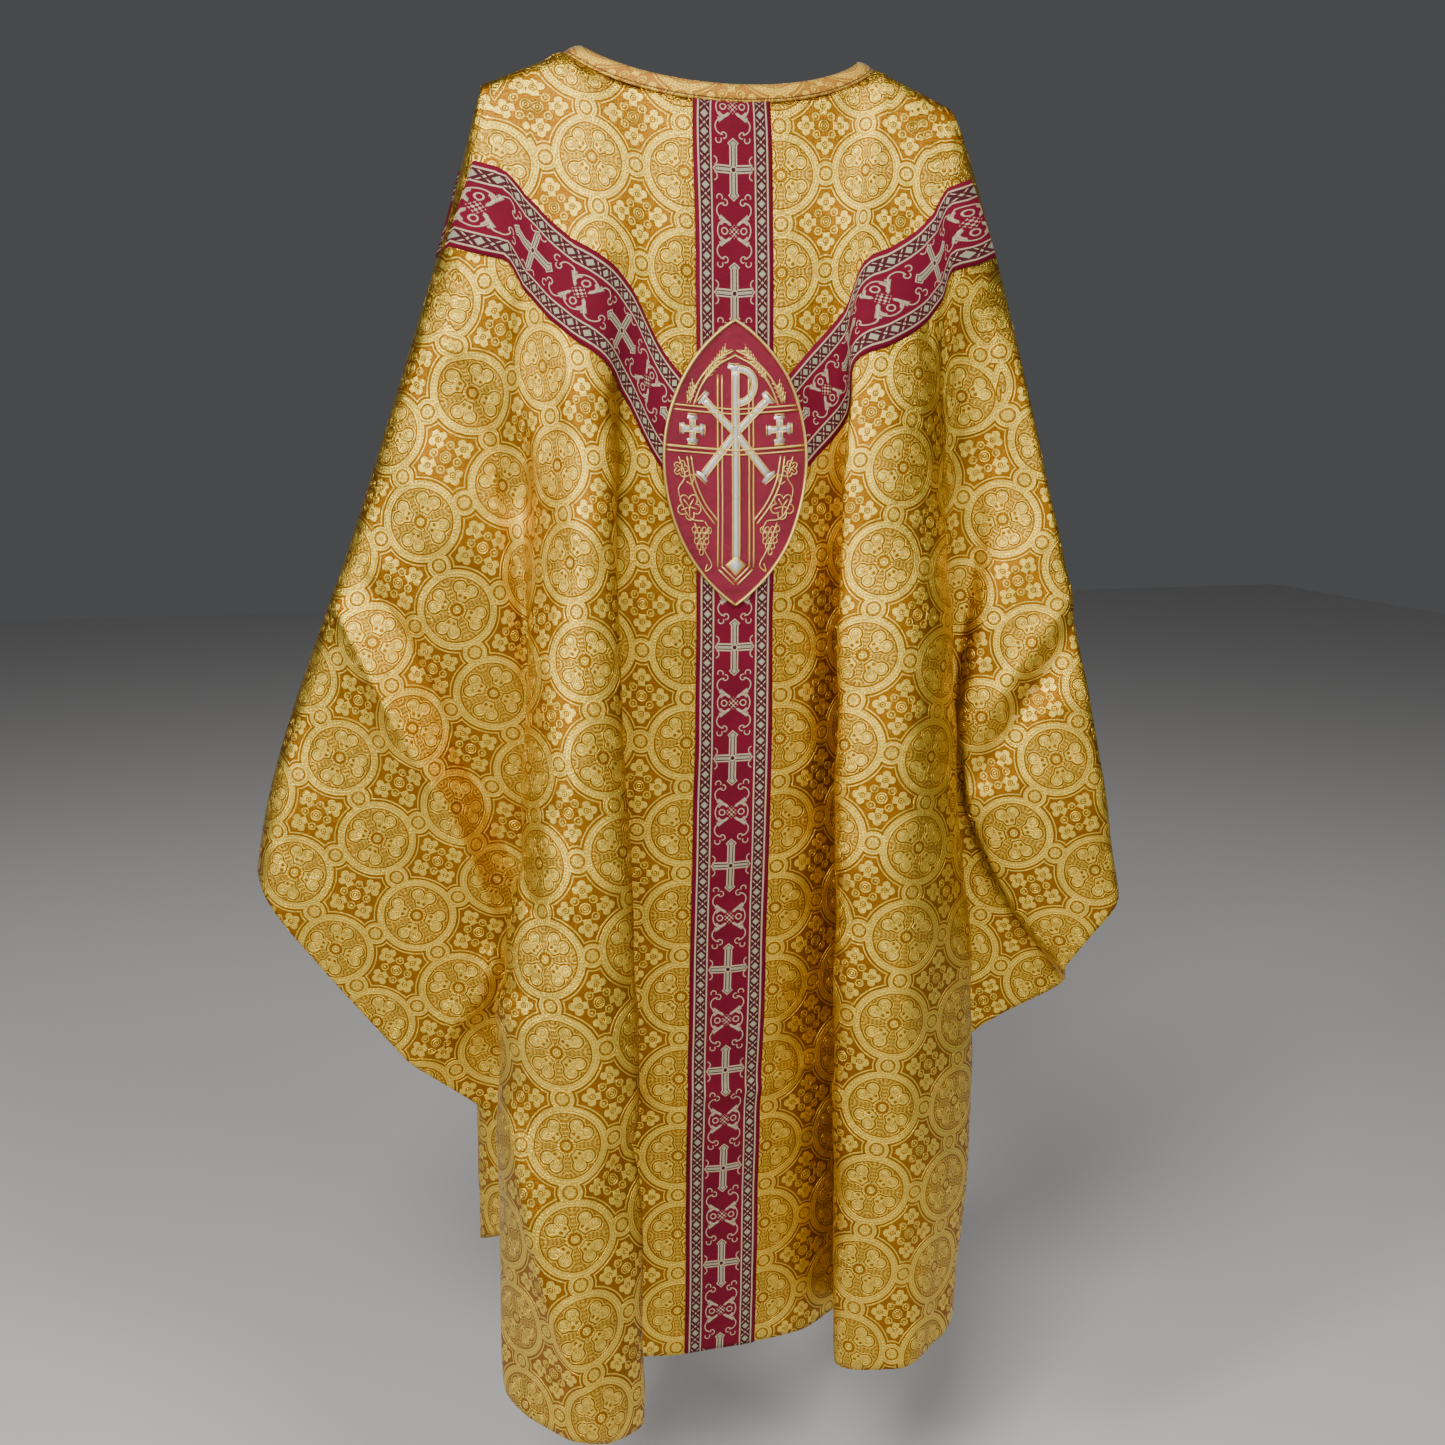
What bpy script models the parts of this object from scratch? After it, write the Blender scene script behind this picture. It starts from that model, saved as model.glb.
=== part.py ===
# A lined brocade chasuble hanging by its shoulders, as it hangs on a stand or hanger.
# Metres, +Z up, +X across the shoulders. The back of the garment faces -Y.
# The origin is midway between the two shoulder points, level with the neck points.
import bisect
import math

import bmesh
import bpy
from mathutils import Vector
from mathutils.bvhtree import BVHTree
from mathutils.geometry import barycentric_transform

# ---- how the cloth is cut ----------------------------------------------------
NECK_HALF = 0.126             # centre line to the finished neck edge at the shoulder
BACK_NECK_DROP = 0.031        # neck point down to the finished edge at centre back
FRONT_NECK_DROP = 0.100       # the same at centre front
BINDING_WIDTH = 0.015         # the strip that finishes the neck
BINDING_LEAN = 0.1            # how far it leans in to the neck, as a share of its width
BINDING_FALL = 0.4            # how far it falls at the neck point, as a share of its width
NECK_ARC = math.radians(65)   # how far round the neck's curve turns, centre to shoulder
HEM_DROP = 1.250              # neck point down to the hem at the centre
SEAM_LENGTH = 0.830           # shoulder seam, binding to wing tip
SEAM_SLOPE = math.radians(48) # shoulder seam below the level, in the flat cut
HEM_ROUND_ACROSS = 4.0        # how full the hem's curve is, across and down
HEM_ROUND_DOWN = 2.4
HEM_POINTS = 240

# ---- thicknesses -------------------------------------------------------------
BROCADE = 0.0012
LINING = 0.0008
GALLOON = 0.0010
SATIN = 0.0010
APPLIQUE = 0.0012
CORD = 0.0028
GAP = 0.0003                  # left between sewn layers
TRIM_GAP = 0.0006             # brocade to the galloon sewn on it
SEAM_GAP = 0.0004             # each panel's edge to the seam it shares with the other

# ---- trim --------------------------------------------------------------------
GALLOON_WIDTH = 0.074
ARM_DISTANCE = 0.189          # binding to the middle of an arm band, along the seam
EMBLEM_WIDTH = 0.142
EMBLEM_HEIGHT = 0.256
EMBLEM_DROP = 0.357           # neck point level down to the emblem's middle
MONOGRAM_HEIGHT = 0.172
MONOGRAM_STROKE = 0.010
CHARM_SPAN = 0.026            # the small cross on each side of the monogram
CHARM_DISTANCE = 0.037        # centre line to the middle of a small cross

# ---- how it hangs ------------------------------------------------------------
SHOULDER_HALF = 0.213         # centre line to the end of the hanger
SHOULDER_DROP = 0.036         # neck point down to the end of the hanger
RIDGE_RADIUS = 0.014          # rounding over the hanger's arm
BACK_NECK_OUT = 0.034         # how far the neck edge stands back and front of the hanger
FRONT_NECK_OUT = 0.034
FOLD_DEPTH = 0.160            # hanger to the nearest fold

# Fold lines run from the shoulder to the hem. Each has its start along the top edge
# (0 centre, 1 neck point, 2 end of the hanger), its end along the hem (0 centre,
# 1 wing tip), and where it passes at five levels, as centimetres across and back.
# They are drawn for a garment 1.25 m long, shoulders 21.3 cm half wide, folds 16 cm deep.
LEVELS = (-0.15, -0.40, -0.70, -1.00, -1.30)
DRAWN_LENGTH = 1.25
DRAWN_SHOULDER = 21.3
DRAWN_DEPTH = 16.0
BACK_CENTRE = (0.00, 0.000, ((0.0, -4.2), (0.0, -4.8), (-0.3, -4.4), (-0.8, -3.8), (-1.2, -3.2)))
BACK_LEFT = (
    (0.50, 0.060, ((-6.5, -4.3), (-7.0, -4.7), (-7.6, -4.2), (-8.2, -3.6), (-8.4, -3.0))),
    (0.92, 0.120, ((-10.2, -4.4), (-10.8, -4.6), (-13.0, -3.6), (-14.0, -3.4), (-14.2, -3.2))),
    (1.00, 0.240, ((-12.4, -4.6), (-11.9, -8.0), (-11.3, -11.6), (-11.0, -14.0), (-11.6, -15.2))),
    (1.10, 0.316, ((-14.5, -4.4), (-14.9, -8.6), (-16.8, -13.2), (-17.2, -16.0), (-17.8, -17.0))),
    (1.30, 0.422, ((-16.6, -4.1), (-17.8, -5.2), (-21.2, -7.5), (-23.1, -9.0), (-23.7, -10.0))),
    (1.44, 0.571, ((-18.2, -3.9), (-19.2, -2.2), (-17.6, -0.8), (-15.8, 1.0), (-15.0, 2.0))),
    (1.82, 0.721, ((-19.8, -3.7), (-21.4, -2.2), (-21.5, 0.5), (-21.5, 3.5), (-21.5, 5.0))),
    (1.86, 0.815, ((-21.5, -3.3), (-25.2, -1.4), (-28.5, 1.2), (-31.5, 4.2), (-34.0, 6.0))),
    (1.91, 0.910, ((-22.9, -2.5), (-29.2, 0.4), (-36.0, 3.6), (-42.0, 6.5), (-46.0, 8.0))),
    (1.95, 0.968, ((-24.1, -1.0), (-32.4, 2.8), (-42.4, 6.6), (-46.0, 8.0), (-47.0, 8.5))),
)
BACK_RIGHT = (
    (0.50, 0.065, ((6.8, -4.2), (7.2, -4.5), (7.4, -3.9), (7.6, -3.1), (7.8, -2.3))),
    (0.78, 0.137, ((10.4, -4.3), (11.4, -3.2), (13.8, -1.2), (14.4, 0.4), (14.4, 1.2))),
    (1.00, 0.254, ((12.4, -4.5), (9.8, -6.6), (9.0, -8.6), (8.8, -10.0), (9.0, -10.5))),
    (1.08, 0.324, ((14.4, -4.4), (13.8, -8.2), (14.0, -11.8), (14.3, -13.0), (14.6, -13.2))),
    (1.16, 0.398, ((16.2, -4.3), (18.0, -6.8), (20.0, -9.4), (20.4, -10.2), (19.8, -10.6))),
    (1.26, 0.456, ((17.6, -4.2), (20.2, -4.8), (22.4, -6.4), (24.0, -6.4), (22.0, -7.4))),
    (1.36, 0.579, ((19.0, -4.1), (20.8, -3.0), (19.6, -1.4), (17.2, 0.8), (17.0, 1.6))),
    (1.76, 0.799, ((20.4, -4.0), (22.6, -2.6), (22.2, -0.6), (25.4, -1.6), (26.0, -2.0))),
    (1.80, 0.841, ((21.6, -3.9), (24.2, -2.7), (24.8, -1.8), (41.0, -5.0), (46.0, -6.0))),
    (1.84, 0.863, ((22.6, -3.6), (25.6, -3.7), (23.8, -4.4), (42.5, -8.2), (47.0, -9.0))),
    (1.90, 0.924, ((24.0, -3.0), (28.2, -4.8), (30.5, -7.2), (43.0, -9.4), (47.0, -10.0))),
    (1.94, 0.967, ((25.3, -1.9), (31.0, -5.4), (36.9, -8.2), (41.4, -9.2), (43.0, -9.5))),
)
SEAM_LEFT = (2.00, 1.000, ((-24.6, 0.8), (-33.0, 5.0), (-43.4, 9.0), (-46.0, 10.0), (-47.0, 10.5)))
SEAM_RIGHT = (2.00, 1.000, ((25.8, -0.5), (31.5, -4.0), (37.5, -6.6), (40.6, -7.8), (42.0, -8.0)))

# The front hangs in two even rows of folds. The last number is how far a line follows
# its own shoulder seam when that swings to the front or to the back.
FRONT_CENTRE = (0.00, 0.000, ((0.0, 4.4), (0.0, 5.2), (0.0, 5.6), (0.0, 5.4), (0.0, 5.2)))
FRONT_HALF = (
    (0.50, 0.070, ((7.0, 4.4), (7.4, 5.2), (8.0, 5.6), (8.4, 5.6), (8.6, 5.4)), 0.0),
    (0.78, 0.140, ((11.0, 4.2), (12.0, 4.8), (13.4, 4.8), (14.4, 4.4), (14.6, 4.2)), 0.0),
    (1.00, 0.270, ((13.0, 4.2), (11.8, 8.6), (10.8, 12.2), (10.2, 14.6), (10.2, 15.4)), 0.0),
    (1.30, 0.360, ((15.0, 4.1), (15.6, 10.0), (16.4, 14.8), (16.8, 17.4), (17.0, 18.2)), 0.0),
    (1.48, 0.450, ((17.0, 3.9), (19.2, 7.6), (22.0, 11.6), (23.4, 13.6), (23.8, 14.4)), 0.0),
    (1.54, 0.590, ((19.0, 3.7), (19.8, 4.2), (18.0, 5.6), (16.6, 5.2), (16.2, 5.0)), 0.1),
    (1.78, 0.742, ((20.6, 3.5), (22.2, 3.8), (22.4, 4.2), (22.4, 5.4), (22.4, 6.0)), 0.3),
    (1.82, 0.835, ((22.0, 3.1), (25.6, 3.8), (28.8, 4.8), (32.0, 5.6), (34.0, 6.0)), 0.6),
    (1.86, 0.925, ((23.4, 2.4), (29.2, 3.0), (35.2, 3.8), (39.0, 4.4), (41.0, 4.6)), 0.9),
    (1.91, 0.970, ((24.6, 1.4), (31.8, 1.8), (39.4, 2.2), (42.4, 2.4), (43.0, 2.4)), 1.0),
)
SEAM_EVEN = ((25.2, 0.2), (32.2, 0.4), (40.4, 0.6), (43.3, 0.8), (44.5, 0.8))

ROWS = (0.0, 0.02, 0.06, 0.13, 0.22, 0.31, 0.40, 0.49, 0.58, 0.67, 0.76, 0.84, 0.92, 1.0)
STEPS_PER_FOLD = 2            # cloth strips between two fold lines
TRAIL_STEPS = 12              # points along a fold line between two levels
LEVEL_ROOM = 0.020            # a level closer than this to the top edge is passed over
NUDGE = 0.004                 # step used to find which way the cloth faces at the top edge
SETTLED = 0.13                # share of the way down where that step is a full strip
CUT_SNAP = 0.00005            # a cut this near a corner of the cloth passes through it


# ---- the flat cut ------------------------------------------------------------
def neck_half():
    """Half the neck where the brocade starts, below the binding."""
    return NECK_HALF + BINDING_WIDTH


def ridge_length():
    """Shoulder seam that lies on the hanger's arm."""
    across = SHOULDER_HALF - neck_half()
    return math.hypot(across, SHOULDER_DROP - ridge_start_drop())


def ridge_start_drop():
    """How far below the neck point the brocade starts on the shoulder."""
    return BINDING_WIDTH * BINDING_FALL


def neck_drop(front):
    return (FRONT_NECK_DROP if front else BACK_NECK_DROP) + BINDING_WIDTH


def seam_flat(distance):
    """Point of the shoulder seam, a distance from the binding."""
    return Vector((neck_half() + distance * math.cos(SEAM_SLOPE), -distance * math.sin(SEAM_SLOPE)))


def neck_curve(top):
    """Shares of the neck's half width and of its drop, from the centre to the neck point."""
    turn = top * NECK_ARC
    down = (math.cos(turn) - math.cos(NECK_ARC)) / (1 - math.cos(NECK_ARC))
    return math.sin(turn) / math.sin(NECK_ARC), down


def top_flat(front, top):
    """Top edge in the flat cut: 0 centre, 1 neck point, 2 end of the hanger."""
    if top > 1.0:
        return seam_flat((top - 1.0) * ridge_length())
    across, down = neck_curve(top)
    return Vector((neck_half() * across, -neck_drop(front) * down))


def hem_point(turn):
    """Hem in the flat cut by an angle: 0 centre, a quarter turn at the wing tip."""
    tip = seam_flat(SEAM_LENGTH)
    across = tip.x * math.sin(turn) ** (2 / HEM_ROUND_ACROSS)
    down = (HEM_DROP + tip.y) * max(math.cos(turn), 0.0) ** (2 / HEM_ROUND_DOWN)
    return Vector((across, tip.y - down))


def measure_hem():
    """Points along the hem and their distances from the centre."""
    points = [hem_point(math.pi / 2 * (k / HEM_POINTS) ** 2) for k in range(HEM_POINTS // 2)]
    points += [hem_point(math.pi / 2 * k / HEM_POINTS) for k in range(HEM_POINTS // 4, HEM_POINTS + 1)]
    distances = [0.0]
    for a, b in zip(points, points[1:]):
        distances.append(distances[-1] + (b - a).length)
    return points, distances


HEM = measure_hem()


def hem_flat(hem):
    """Hem in the flat cut by its length: 0 centre, 1 wing tip."""
    points, distances = HEM
    goal = hem * distances[-1]
    k = min(max(bisect.bisect_right(distances, goal) - 1, 0), len(points) - 2)
    return points[k].lerp(points[k + 1], (goal - distances[k]) / (distances[k + 1] - distances[k]))


# ---- the way it hangs --------------------------------------------------------
def top_hung(front, top, half=None, drop=None, out=None):
    """Top edge as it hangs, for one side of the garment at +X."""
    side = 1 if front else -1
    if top > 1.0:
        share = top - 1.0
        start = ridge_start_drop()
        x = neck_half() + share * (SHOULDER_HALF - neck_half())
        return Vector((x, 0.0, -start - share * (SHOULDER_DROP - start)))
    half = neck_half() if half is None else half
    drop = neck_drop(front) if drop is None else drop
    out = (FRONT_NECK_OUT if front else BACK_NECK_OUT) if out is None else out
    across, down = neck_curve(top)
    start = ridge_start_drop() * (half - NECK_HALF) / BINDING_WIDTH
    return Vector((half * across, side * out * down ** 0.8, -start - (drop - start) * down))


def spline(points, closed=False):
    """Smooth curve through points: returns a function of a place along them."""
    count = len(points)

    def point(i):
        if closed:
            return points[i % count]
        if i < 0:
            return points[0] * 2 - points[1]
        if i >= count:
            return points[-1] * 2 - points[-2]
        return points[i]

    def at(place):
        i = math.floor(place)
        if not closed:
            i = min(max(i, 0), count - 2)
        f = place - i
        a, b, c, d = point(i - 1), point(i), point(i + 1), point(i + 2)
        near = max((b - a).length, 1e-6) ** 0.5
        span = max((c - b).length, 1e-6) ** 0.5
        far = max((d - c).length, 1e-6) ** 0.5
        out = ((b - a) / near - (c - a) / (near + span) + (c - b) / span) * span
        back = ((c - b) / span - (d - b) / (span + far) + (d - c) / far) * span
        return (b * (2 * f ** 3 - 3 * f ** 2 + 1) + out * (f ** 3 - 2 * f ** 2 + f)
                + c * (3 * f ** 2 - 2 * f ** 3) + back * (f ** 3 - f ** 2))

    return at


class FoldLine:
    """One line of the cloth from the top edge to the hem, flat and hung."""

    def __init__(self, front, side, top, hem, passes):
        self.front, self.side, self.top, self.hem = front, side, top, hem
        start = top_hung(front, top)
        start.x *= side
        points = [start]
        if top > 0.85:
            away = 1 if front else -1
            turn = 1.0 if top < 2.0 else 0.0
            points.append(start + Vector((0.3 * RIDGE_RADIUS * side, away * RIDGE_RADIUS * turn,
                                          -0.4 * RIDGE_RADIUS - 0.6 * RIDGE_RADIUS * (1 - turn))))
        for level, (across, back) in zip(LEVELS, passes):
            z = level * HEM_DROP / DRAWN_LENGTH
            if z < points[-1].z - LEVEL_ROOM:
                points.append(Vector((across * SHOULDER_HALF / DRAWN_SHOULDER,
                                      back * FOLD_DEPTH / DRAWN_DEPTH, z)))
        points.append(points[-1] * 2 - points[-2])
        route = spline(points)
        steps = TRAIL_STEPS * (len(points) - 1)
        self.trail = [route(k * (len(points) - 1) / steps) for k in range(steps + 1)]
        self.along = [0.0]
        for a, b in zip(self.trail, self.trail[1:]):
            self.along.append(self.along[-1] + (b - a).length)
        self.length = (hem_flat(hem) - top_flat(front, top)).length

    def at(self, share):
        """Point on the hanging line, a share of its cloth length from the top."""
        goal = share * self.length
        if goal < 0:
            p = self.at(-share)
            return Vector((p.x, -p.y, p.z)) if self.top >= 1.0 else self.trail[0] * 2 - p
        k = 0
        while k < len(self.along) - 2 and self.along[k + 1] < goal:
            k += 1
        f = (goal - self.along[k]) / (self.along[k + 1] - self.along[k])
        return self.trail[k].lerp(self.trail[k + 1], f)


def front_lines(side, seam):
    """The front's fold lines on one side, swung with that side's shoulder seam."""
    lines = []
    for top, hem, passes, follow in FRONT_HALF:
        swung = []
        for (across, back), even, real in zip(passes, SEAM_EVEN, seam[2]):
            swung.append((side * across + follow * (real[0] - side * even[0]),
                          back + follow * (real[1] - even[1])))
        lines.append(FoldLine(True, side, top, hem, swung))
    return lines


def make_loop():
    """All fold lines once round the garment, from centre back by -X to centre front."""
    left = [FoldLine(False, -1, *line) for line in BACK_LEFT]
    right = [FoldLine(False, 1, *line) for line in BACK_RIGHT]
    loop = [FoldLine(False, -1, *BACK_CENTRE)] + left + [FoldLine(False, -1, *SEAM_LEFT)]
    loop += front_lines(-1, SEAM_LEFT)[::-1] + [FoldLine(True, 1, *FRONT_CENTRE)]
    loop += front_lines(1, SEAM_RIGHT) + [FoldLine(False, 1, *SEAM_RIGHT)] + right[::-1]
    return loop


LOOP = make_loop()
SEAM_LEFT_AT = 1 + len(BACK_LEFT)
SEAM_RIGHT_AT = len(LOOP) - 1 - len(BACK_RIGHT)


def hung(place, share):
    """Point on the hanging cloth: place round the loop, share from top to hem."""
    return spline([line.at(share) for line in LOOP], closed=True)(place)


def outward(place, share):
    """Direction that points out of the garment, halfway between the cloth on both sides."""
    here = hung(place, share)
    reach = NUDGE + (1 / STEPS_PER_FOLD - NUDGE) * min(share / SETTLED, 1.0)
    ahead = (hung(place + reach, share) - here).normalized()
    behind = (here - hung(place - reach, share)).normalized()
    down = hung(place, min(share + NUDGE, 1.0)) - hung(place, share - NUDGE)
    return (ahead + behind).cross(down).normalized()


def flat(front, place, share):
    """The same point in the flat cut, -X side negative."""
    i = math.floor(place) % len(LOOP)
    f = place - math.floor(place)
    a, b = LOOP[i], LOOP[(i + 1) % len(LOOP)]
    top, hem = a.top + (b.top - a.top) * f, a.hem + (b.hem - a.hem) * f
    side = a.side if a.hem > b.hem else b.side
    point = top_flat(front, top).lerp(hem_flat(hem), share)
    return Vector((point.x * side, point.y))


class Panel:
    """The back or the front of the garment: a flat cut and the way it hangs."""

    def __init__(self, front):
        self.front = front
        if front:
            first, last = SEAM_LEFT_AT, SEAM_RIGHT_AT
        else:
            first, last = SEAM_RIGHT_AT, SEAM_LEFT_AT + len(LOOP)
        count = (last - first) * STEPS_PER_FOLD
        self.places = [first + k / STEPS_PER_FOLD for k in range(count + 1)]
        self.middle = min(range(count), key=lambda k: abs(flat(front, self.places[k], 0.5).x))
        self.cut = bmesh.new()
        self.hung = self.cut.verts.layers.float_vector.new("hung")
        self.out = self.cut.verts.layers.float_vector.new("out")
        self.make()

    def make(self):
        grid = []
        for share in ROWS:
            at = spline([line.at(share) for line in LOOP], closed=True)
            row = []
            for place in self.places:
                spot = flat(self.front, place, share)
                vert = self.cut.verts.new((spot.x, spot.y, 0.0))
                vert[self.hung] = at(place)
                vert[self.out] = outward(place, share)
                row.append(vert)
            grid.append(row)
        self.open_seams(grid)
        for upper, lower in zip(grid, grid[1:]):
            for k in range(len(self.places) - 1):
                a, b, c, d = upper[k], upper[k + 1], lower[k + 1], lower[k]
                halves = ((a, d, c), (a, c, b)) if k < self.middle else ((a, d, b), (b, d, c))
                for half in halves:
                    self.cut.faces.new(half)
        self.cut.verts.index_update()
        self.cut.faces.ensure_lookup_table()
        self.index()

    def open_seams(self, grid):
        """Keep the gap between this panel and the other one along their seam."""
        for row in grid:
            for edge, inner in ((row[0], row[1]), (row[-1], row[-2])):
                step = (inner[self.hung] - edge[self.hung]).normalized()
                edge[self.hung] = edge[self.hung] + step * SEAM_GAP
        for edge, inner in zip(grid[0], grid[1]):
            step = (inner[self.hung] - edge[self.hung]).normalized()
            edge[self.hung] = edge[self.hung] + step * SEAM_GAP

    def index(self):
        corners = [v.co.copy() for v in self.cut.verts]
        self.tree = BVHTree.FromPolygons(corners, [[v.index for v in f.verts] for f in self.cut.faces])

    def hang(self, u, v, height):
        """A point of the flat cut, hung, and raised off the cloth by a height."""
        spot = Vector((u, v, 0.0))
        near, _, number, _ = self.tree.find_nearest(spot)
        corners = self.cut.faces[number].verts
        flat_corners = [c.co for c in corners]
        hung_corners = [c[self.hung] for c in corners]
        out_corners = [c[self.out] for c in corners]
        base = barycentric_transform(near, *flat_corners, *hung_corners)
        out = barycentric_transform(near, *flat_corners, *out_corners)
        return base + out * height

    def layer(self, bottom, top, cuts=()):
        """A solid of this cloth between two heights, trimmed by straight cuts in the flat."""
        bm = self.cut.copy()
        place = bm.verts.layers.float_vector["hung"]
        out = bm.verts.layers.float_vector["out"]
        for point, away in cuts:
            everything = list(bm.verts) + list(bm.edges) + list(bm.faces)
            bmesh.ops.bisect_plane(bm, geom=everything, dist=CUT_SNAP, clear_outer=True,
                                   plane_co=(point.x, point.y, 0.0), plane_no=(away.x, away.y, 0.0))
        lower = set(bm.verts)
        bmesh.ops.extrude_face_region(bm, geom=list(bm.faces), use_keep_orig=True)
        for vert in bm.verts:
            vert.co = vert[place] + vert[out] * (bottom if vert in lower else top)
        return bm


def node(bm, name, material):
    """Make a node of a closed mesh, its faces pointing out."""
    bmesh.ops.triangulate(bm, faces=list(bm.faces))
    bmesh.ops.recalc_face_normals(bm, faces=list(bm.faces))
    if bm.calc_volume(signed=True) < 0:
        bmesh.ops.reverse_faces(bm, faces=list(bm.faces))
    mesh = bpy.data.meshes.new(name)
    bm.to_mesh(mesh)
    bm.free()
    mesh.materials.append(material)
    piece = bpy.data.objects.new(name, mesh)
    bpy.context.scene.collection.objects.link(piece)
    return piece


def cloth(name, colour, roughness, metallic):
    material = bpy.data.materials.new(name)
    material.use_nodes = True
    shader = material.node_tree.nodes["Principled BSDF"]
    shader.inputs["Base Color"].default_value = (*colour, 1.0)
    shader.inputs["Roughness"].default_value = roughness
    shader.inputs["Metallic"].default_value = metallic
    return material


# ---- the pieces --------------------------------------------------------------
def make_cloth(panel, side, brocade, satin):
    """The brocade of a panel and the lining sewn inside it."""
    node(panel.layer(0.0, BROCADE), side + "_panel", brocade)
    node(panel.layer(-GAP - LINING, -GAP), side + "_lining", satin)


def galloon_heights():
    return BROCADE + TRIM_GAP, BROCADE + TRIM_GAP + GALLOON


def make_pillar(panel, name, material):
    """The galloon down the centre, binding to hem."""
    half = Vector((GALLOON_WIDTH / 2, 0.0))
    node(panel.layer(*galloon_heights(), ((half, half), (-half, -half))), name, material)


def make_arm(panel, name, side, material):
    """The galloon from a shoulder seam, square to the seam, to the centre galloon."""
    along = Vector((side * math.cos(SEAM_SLOPE), -math.sin(SEAM_SLOPE)))
    start = seam_flat(ARM_DISTANCE)
    start.x *= side
    half = along * GALLOON_WIDTH / 2
    butt = Vector((side * (GALLOON_WIDTH / 2 + 2 * GAP), 0.0))
    cuts = ((start + half, along), (start - half, -along), (butt, -butt))
    node(panel.layer(*galloon_heights(), cuts), name, material)


def make_binding(panels, material):
    """The strip that finishes the neck, in one loop."""
    ring = []
    for panel in panels:
        drop = FRONT_NECK_DROP if panel.front else BACK_NECK_DROP
        neck_out = (FRONT_NECK_OUT if panel.front else BACK_NECK_OUT) - BINDING_WIDTH * BINDING_LEAN
        turns = [(place, *line_top(place)) for place in panel.places if line_top(place)[0] <= 1.0]
        for place, top, side in turns[:-1]:
            inner = top_hung(panel.front, top, NECK_HALF, drop, neck_out)
            inner.x *= side
            outer = hung(place, 0.0)
            outer += (inner - outer).normalized() * SEAM_GAP
            ring.append((inner, outer, outward(place, 0.0)))
    bm = bmesh.new()
    rings = []
    for inner, outer, out in ring:
        low, high = out * (-GAP - LINING), out * BROCADE
        corners = (inner + low, outer + low, outer + high, inner + high)
        rings.append([bm.verts.new(corner) for corner in corners])
    for a, b in zip(rings, rings[1:] + rings[:1]):
        for k in range(4):
            bm.faces.new((a[k], a[(k + 1) % 4], b[(k + 1) % 4], b[k]))
    node(bm, "neck_binding", material)


def line_top(place):
    """Where a place on the loop starts along the top edge, and on which side."""
    i = math.floor(place) % len(LOOP)
    f = place - math.floor(place)
    a, b = LOOP[i], LOOP[(i + 1) % len(LOOP)]
    return a.top + (b.top - a.top) * f, a.side if a.hem > b.hem else b.side


def almond(inset, steps):
    """Pointed oval of the emblem, as points of the flat cut, anticlockwise."""
    half_w, half_h = EMBLEM_WIDTH / 2, EMBLEM_HEIGHT / 2
    radius = (half_h ** 2 + half_w ** 2) / (2 * half_w)
    reach = radius - inset
    swing = math.acos((radius - half_w) / reach)
    points = []
    for side in (1, -1):
        for k in range(steps):
            turn = -swing + 2 * swing * k / steps
            points.append(Vector((side * (reach * math.cos(turn) - (radius - half_w)),
                                  side * reach * math.sin(turn) - EMBLEM_DROP)))
    return points


def make_emblem_ground(panel, material):
    """The satin patch, an almond cut from cloth that lies over the galloon."""
    outline = almond(0.0, 8)
    cuts = []
    for a, b in zip(outline, outline[1:] + outline[:1]):
        cuts.append((a, Vector((b.y - a.y, a.x - b.x))))
    base = galloon_heights()[1] + GAP
    node(panel.layer(base, base + SATIN, cuts), "emblem_ground", material)


def satin_top():
    return galloon_heights()[1] + SATIN + 2 * GAP


def make_emblem_cord(panel, material):
    """The gold cord sewn round the edge of the patch."""
    outer, inner = almond(GAP, 16), almond(GAP + CORD, 16)
    low, high = satin_top(), satin_top() + CORD
    bm = bmesh.new()
    rings = []
    for a, b in zip(outer, inner):
        corners = ((a, low), (a, high), (b, high), (b, low))
        rings.append([bm.verts.new(panel.hang(p.x, p.y, height)) for p, height in corners])
    for a, b in zip(rings, rings[1:] + rings[:1]):
        for k in range(4):
            bm.faces.new((a[k], a[(k + 1) % 4], b[(k + 1) % 4], b[k]))
    node(bm, "emblem_cord", material)


def strip(points, width, closed=False):
    """A flat strip of even width along a line of points, as a guide for a union."""
    bm = bmesh.new()
    rings = []
    count = len(points)
    for k, point in enumerate(points):
        before = points[k - 1] if k or closed else point
        after = points[(k + 1) % count] if k < count - 1 or closed else point
        run = (after - before).normalized()
        across = Vector((-run.y, run.x)) * width / 2
        corners = ((point + across, 0.0), (point + across, APPLIQUE),
                   (point - across, APPLIQUE), (point - across, 0.0))
        rings.append([bm.verts.new((p.x, p.y, height)) for p, height in corners])
    pairs = list(zip(rings, rings[1:]))
    if closed:
        pairs.append((rings[-1], rings[0]))
    for a, b in pairs:
        for k in range(4):
            bm.faces.new((a[k], a[(k + 1) % 4], b[(k + 1) % 4], b[k]))
    if not closed:
        bm.faces.new(rings[0])
        bm.faces.new(rings[-1][::-1])
    bmesh.ops.recalc_face_normals(bm, faces=list(bm.faces))
    mesh = bpy.data.meshes.new("strip")
    bm.to_mesh(mesh)
    bm.free()
    piece = bpy.data.objects.new("strip", mesh)
    bpy.context.scene.collection.objects.link(piece)
    return piece


def line(start, end, pieces=4):
    return [start.lerp(end, k / pieces) for k in range(pieces + 1)]


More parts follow.
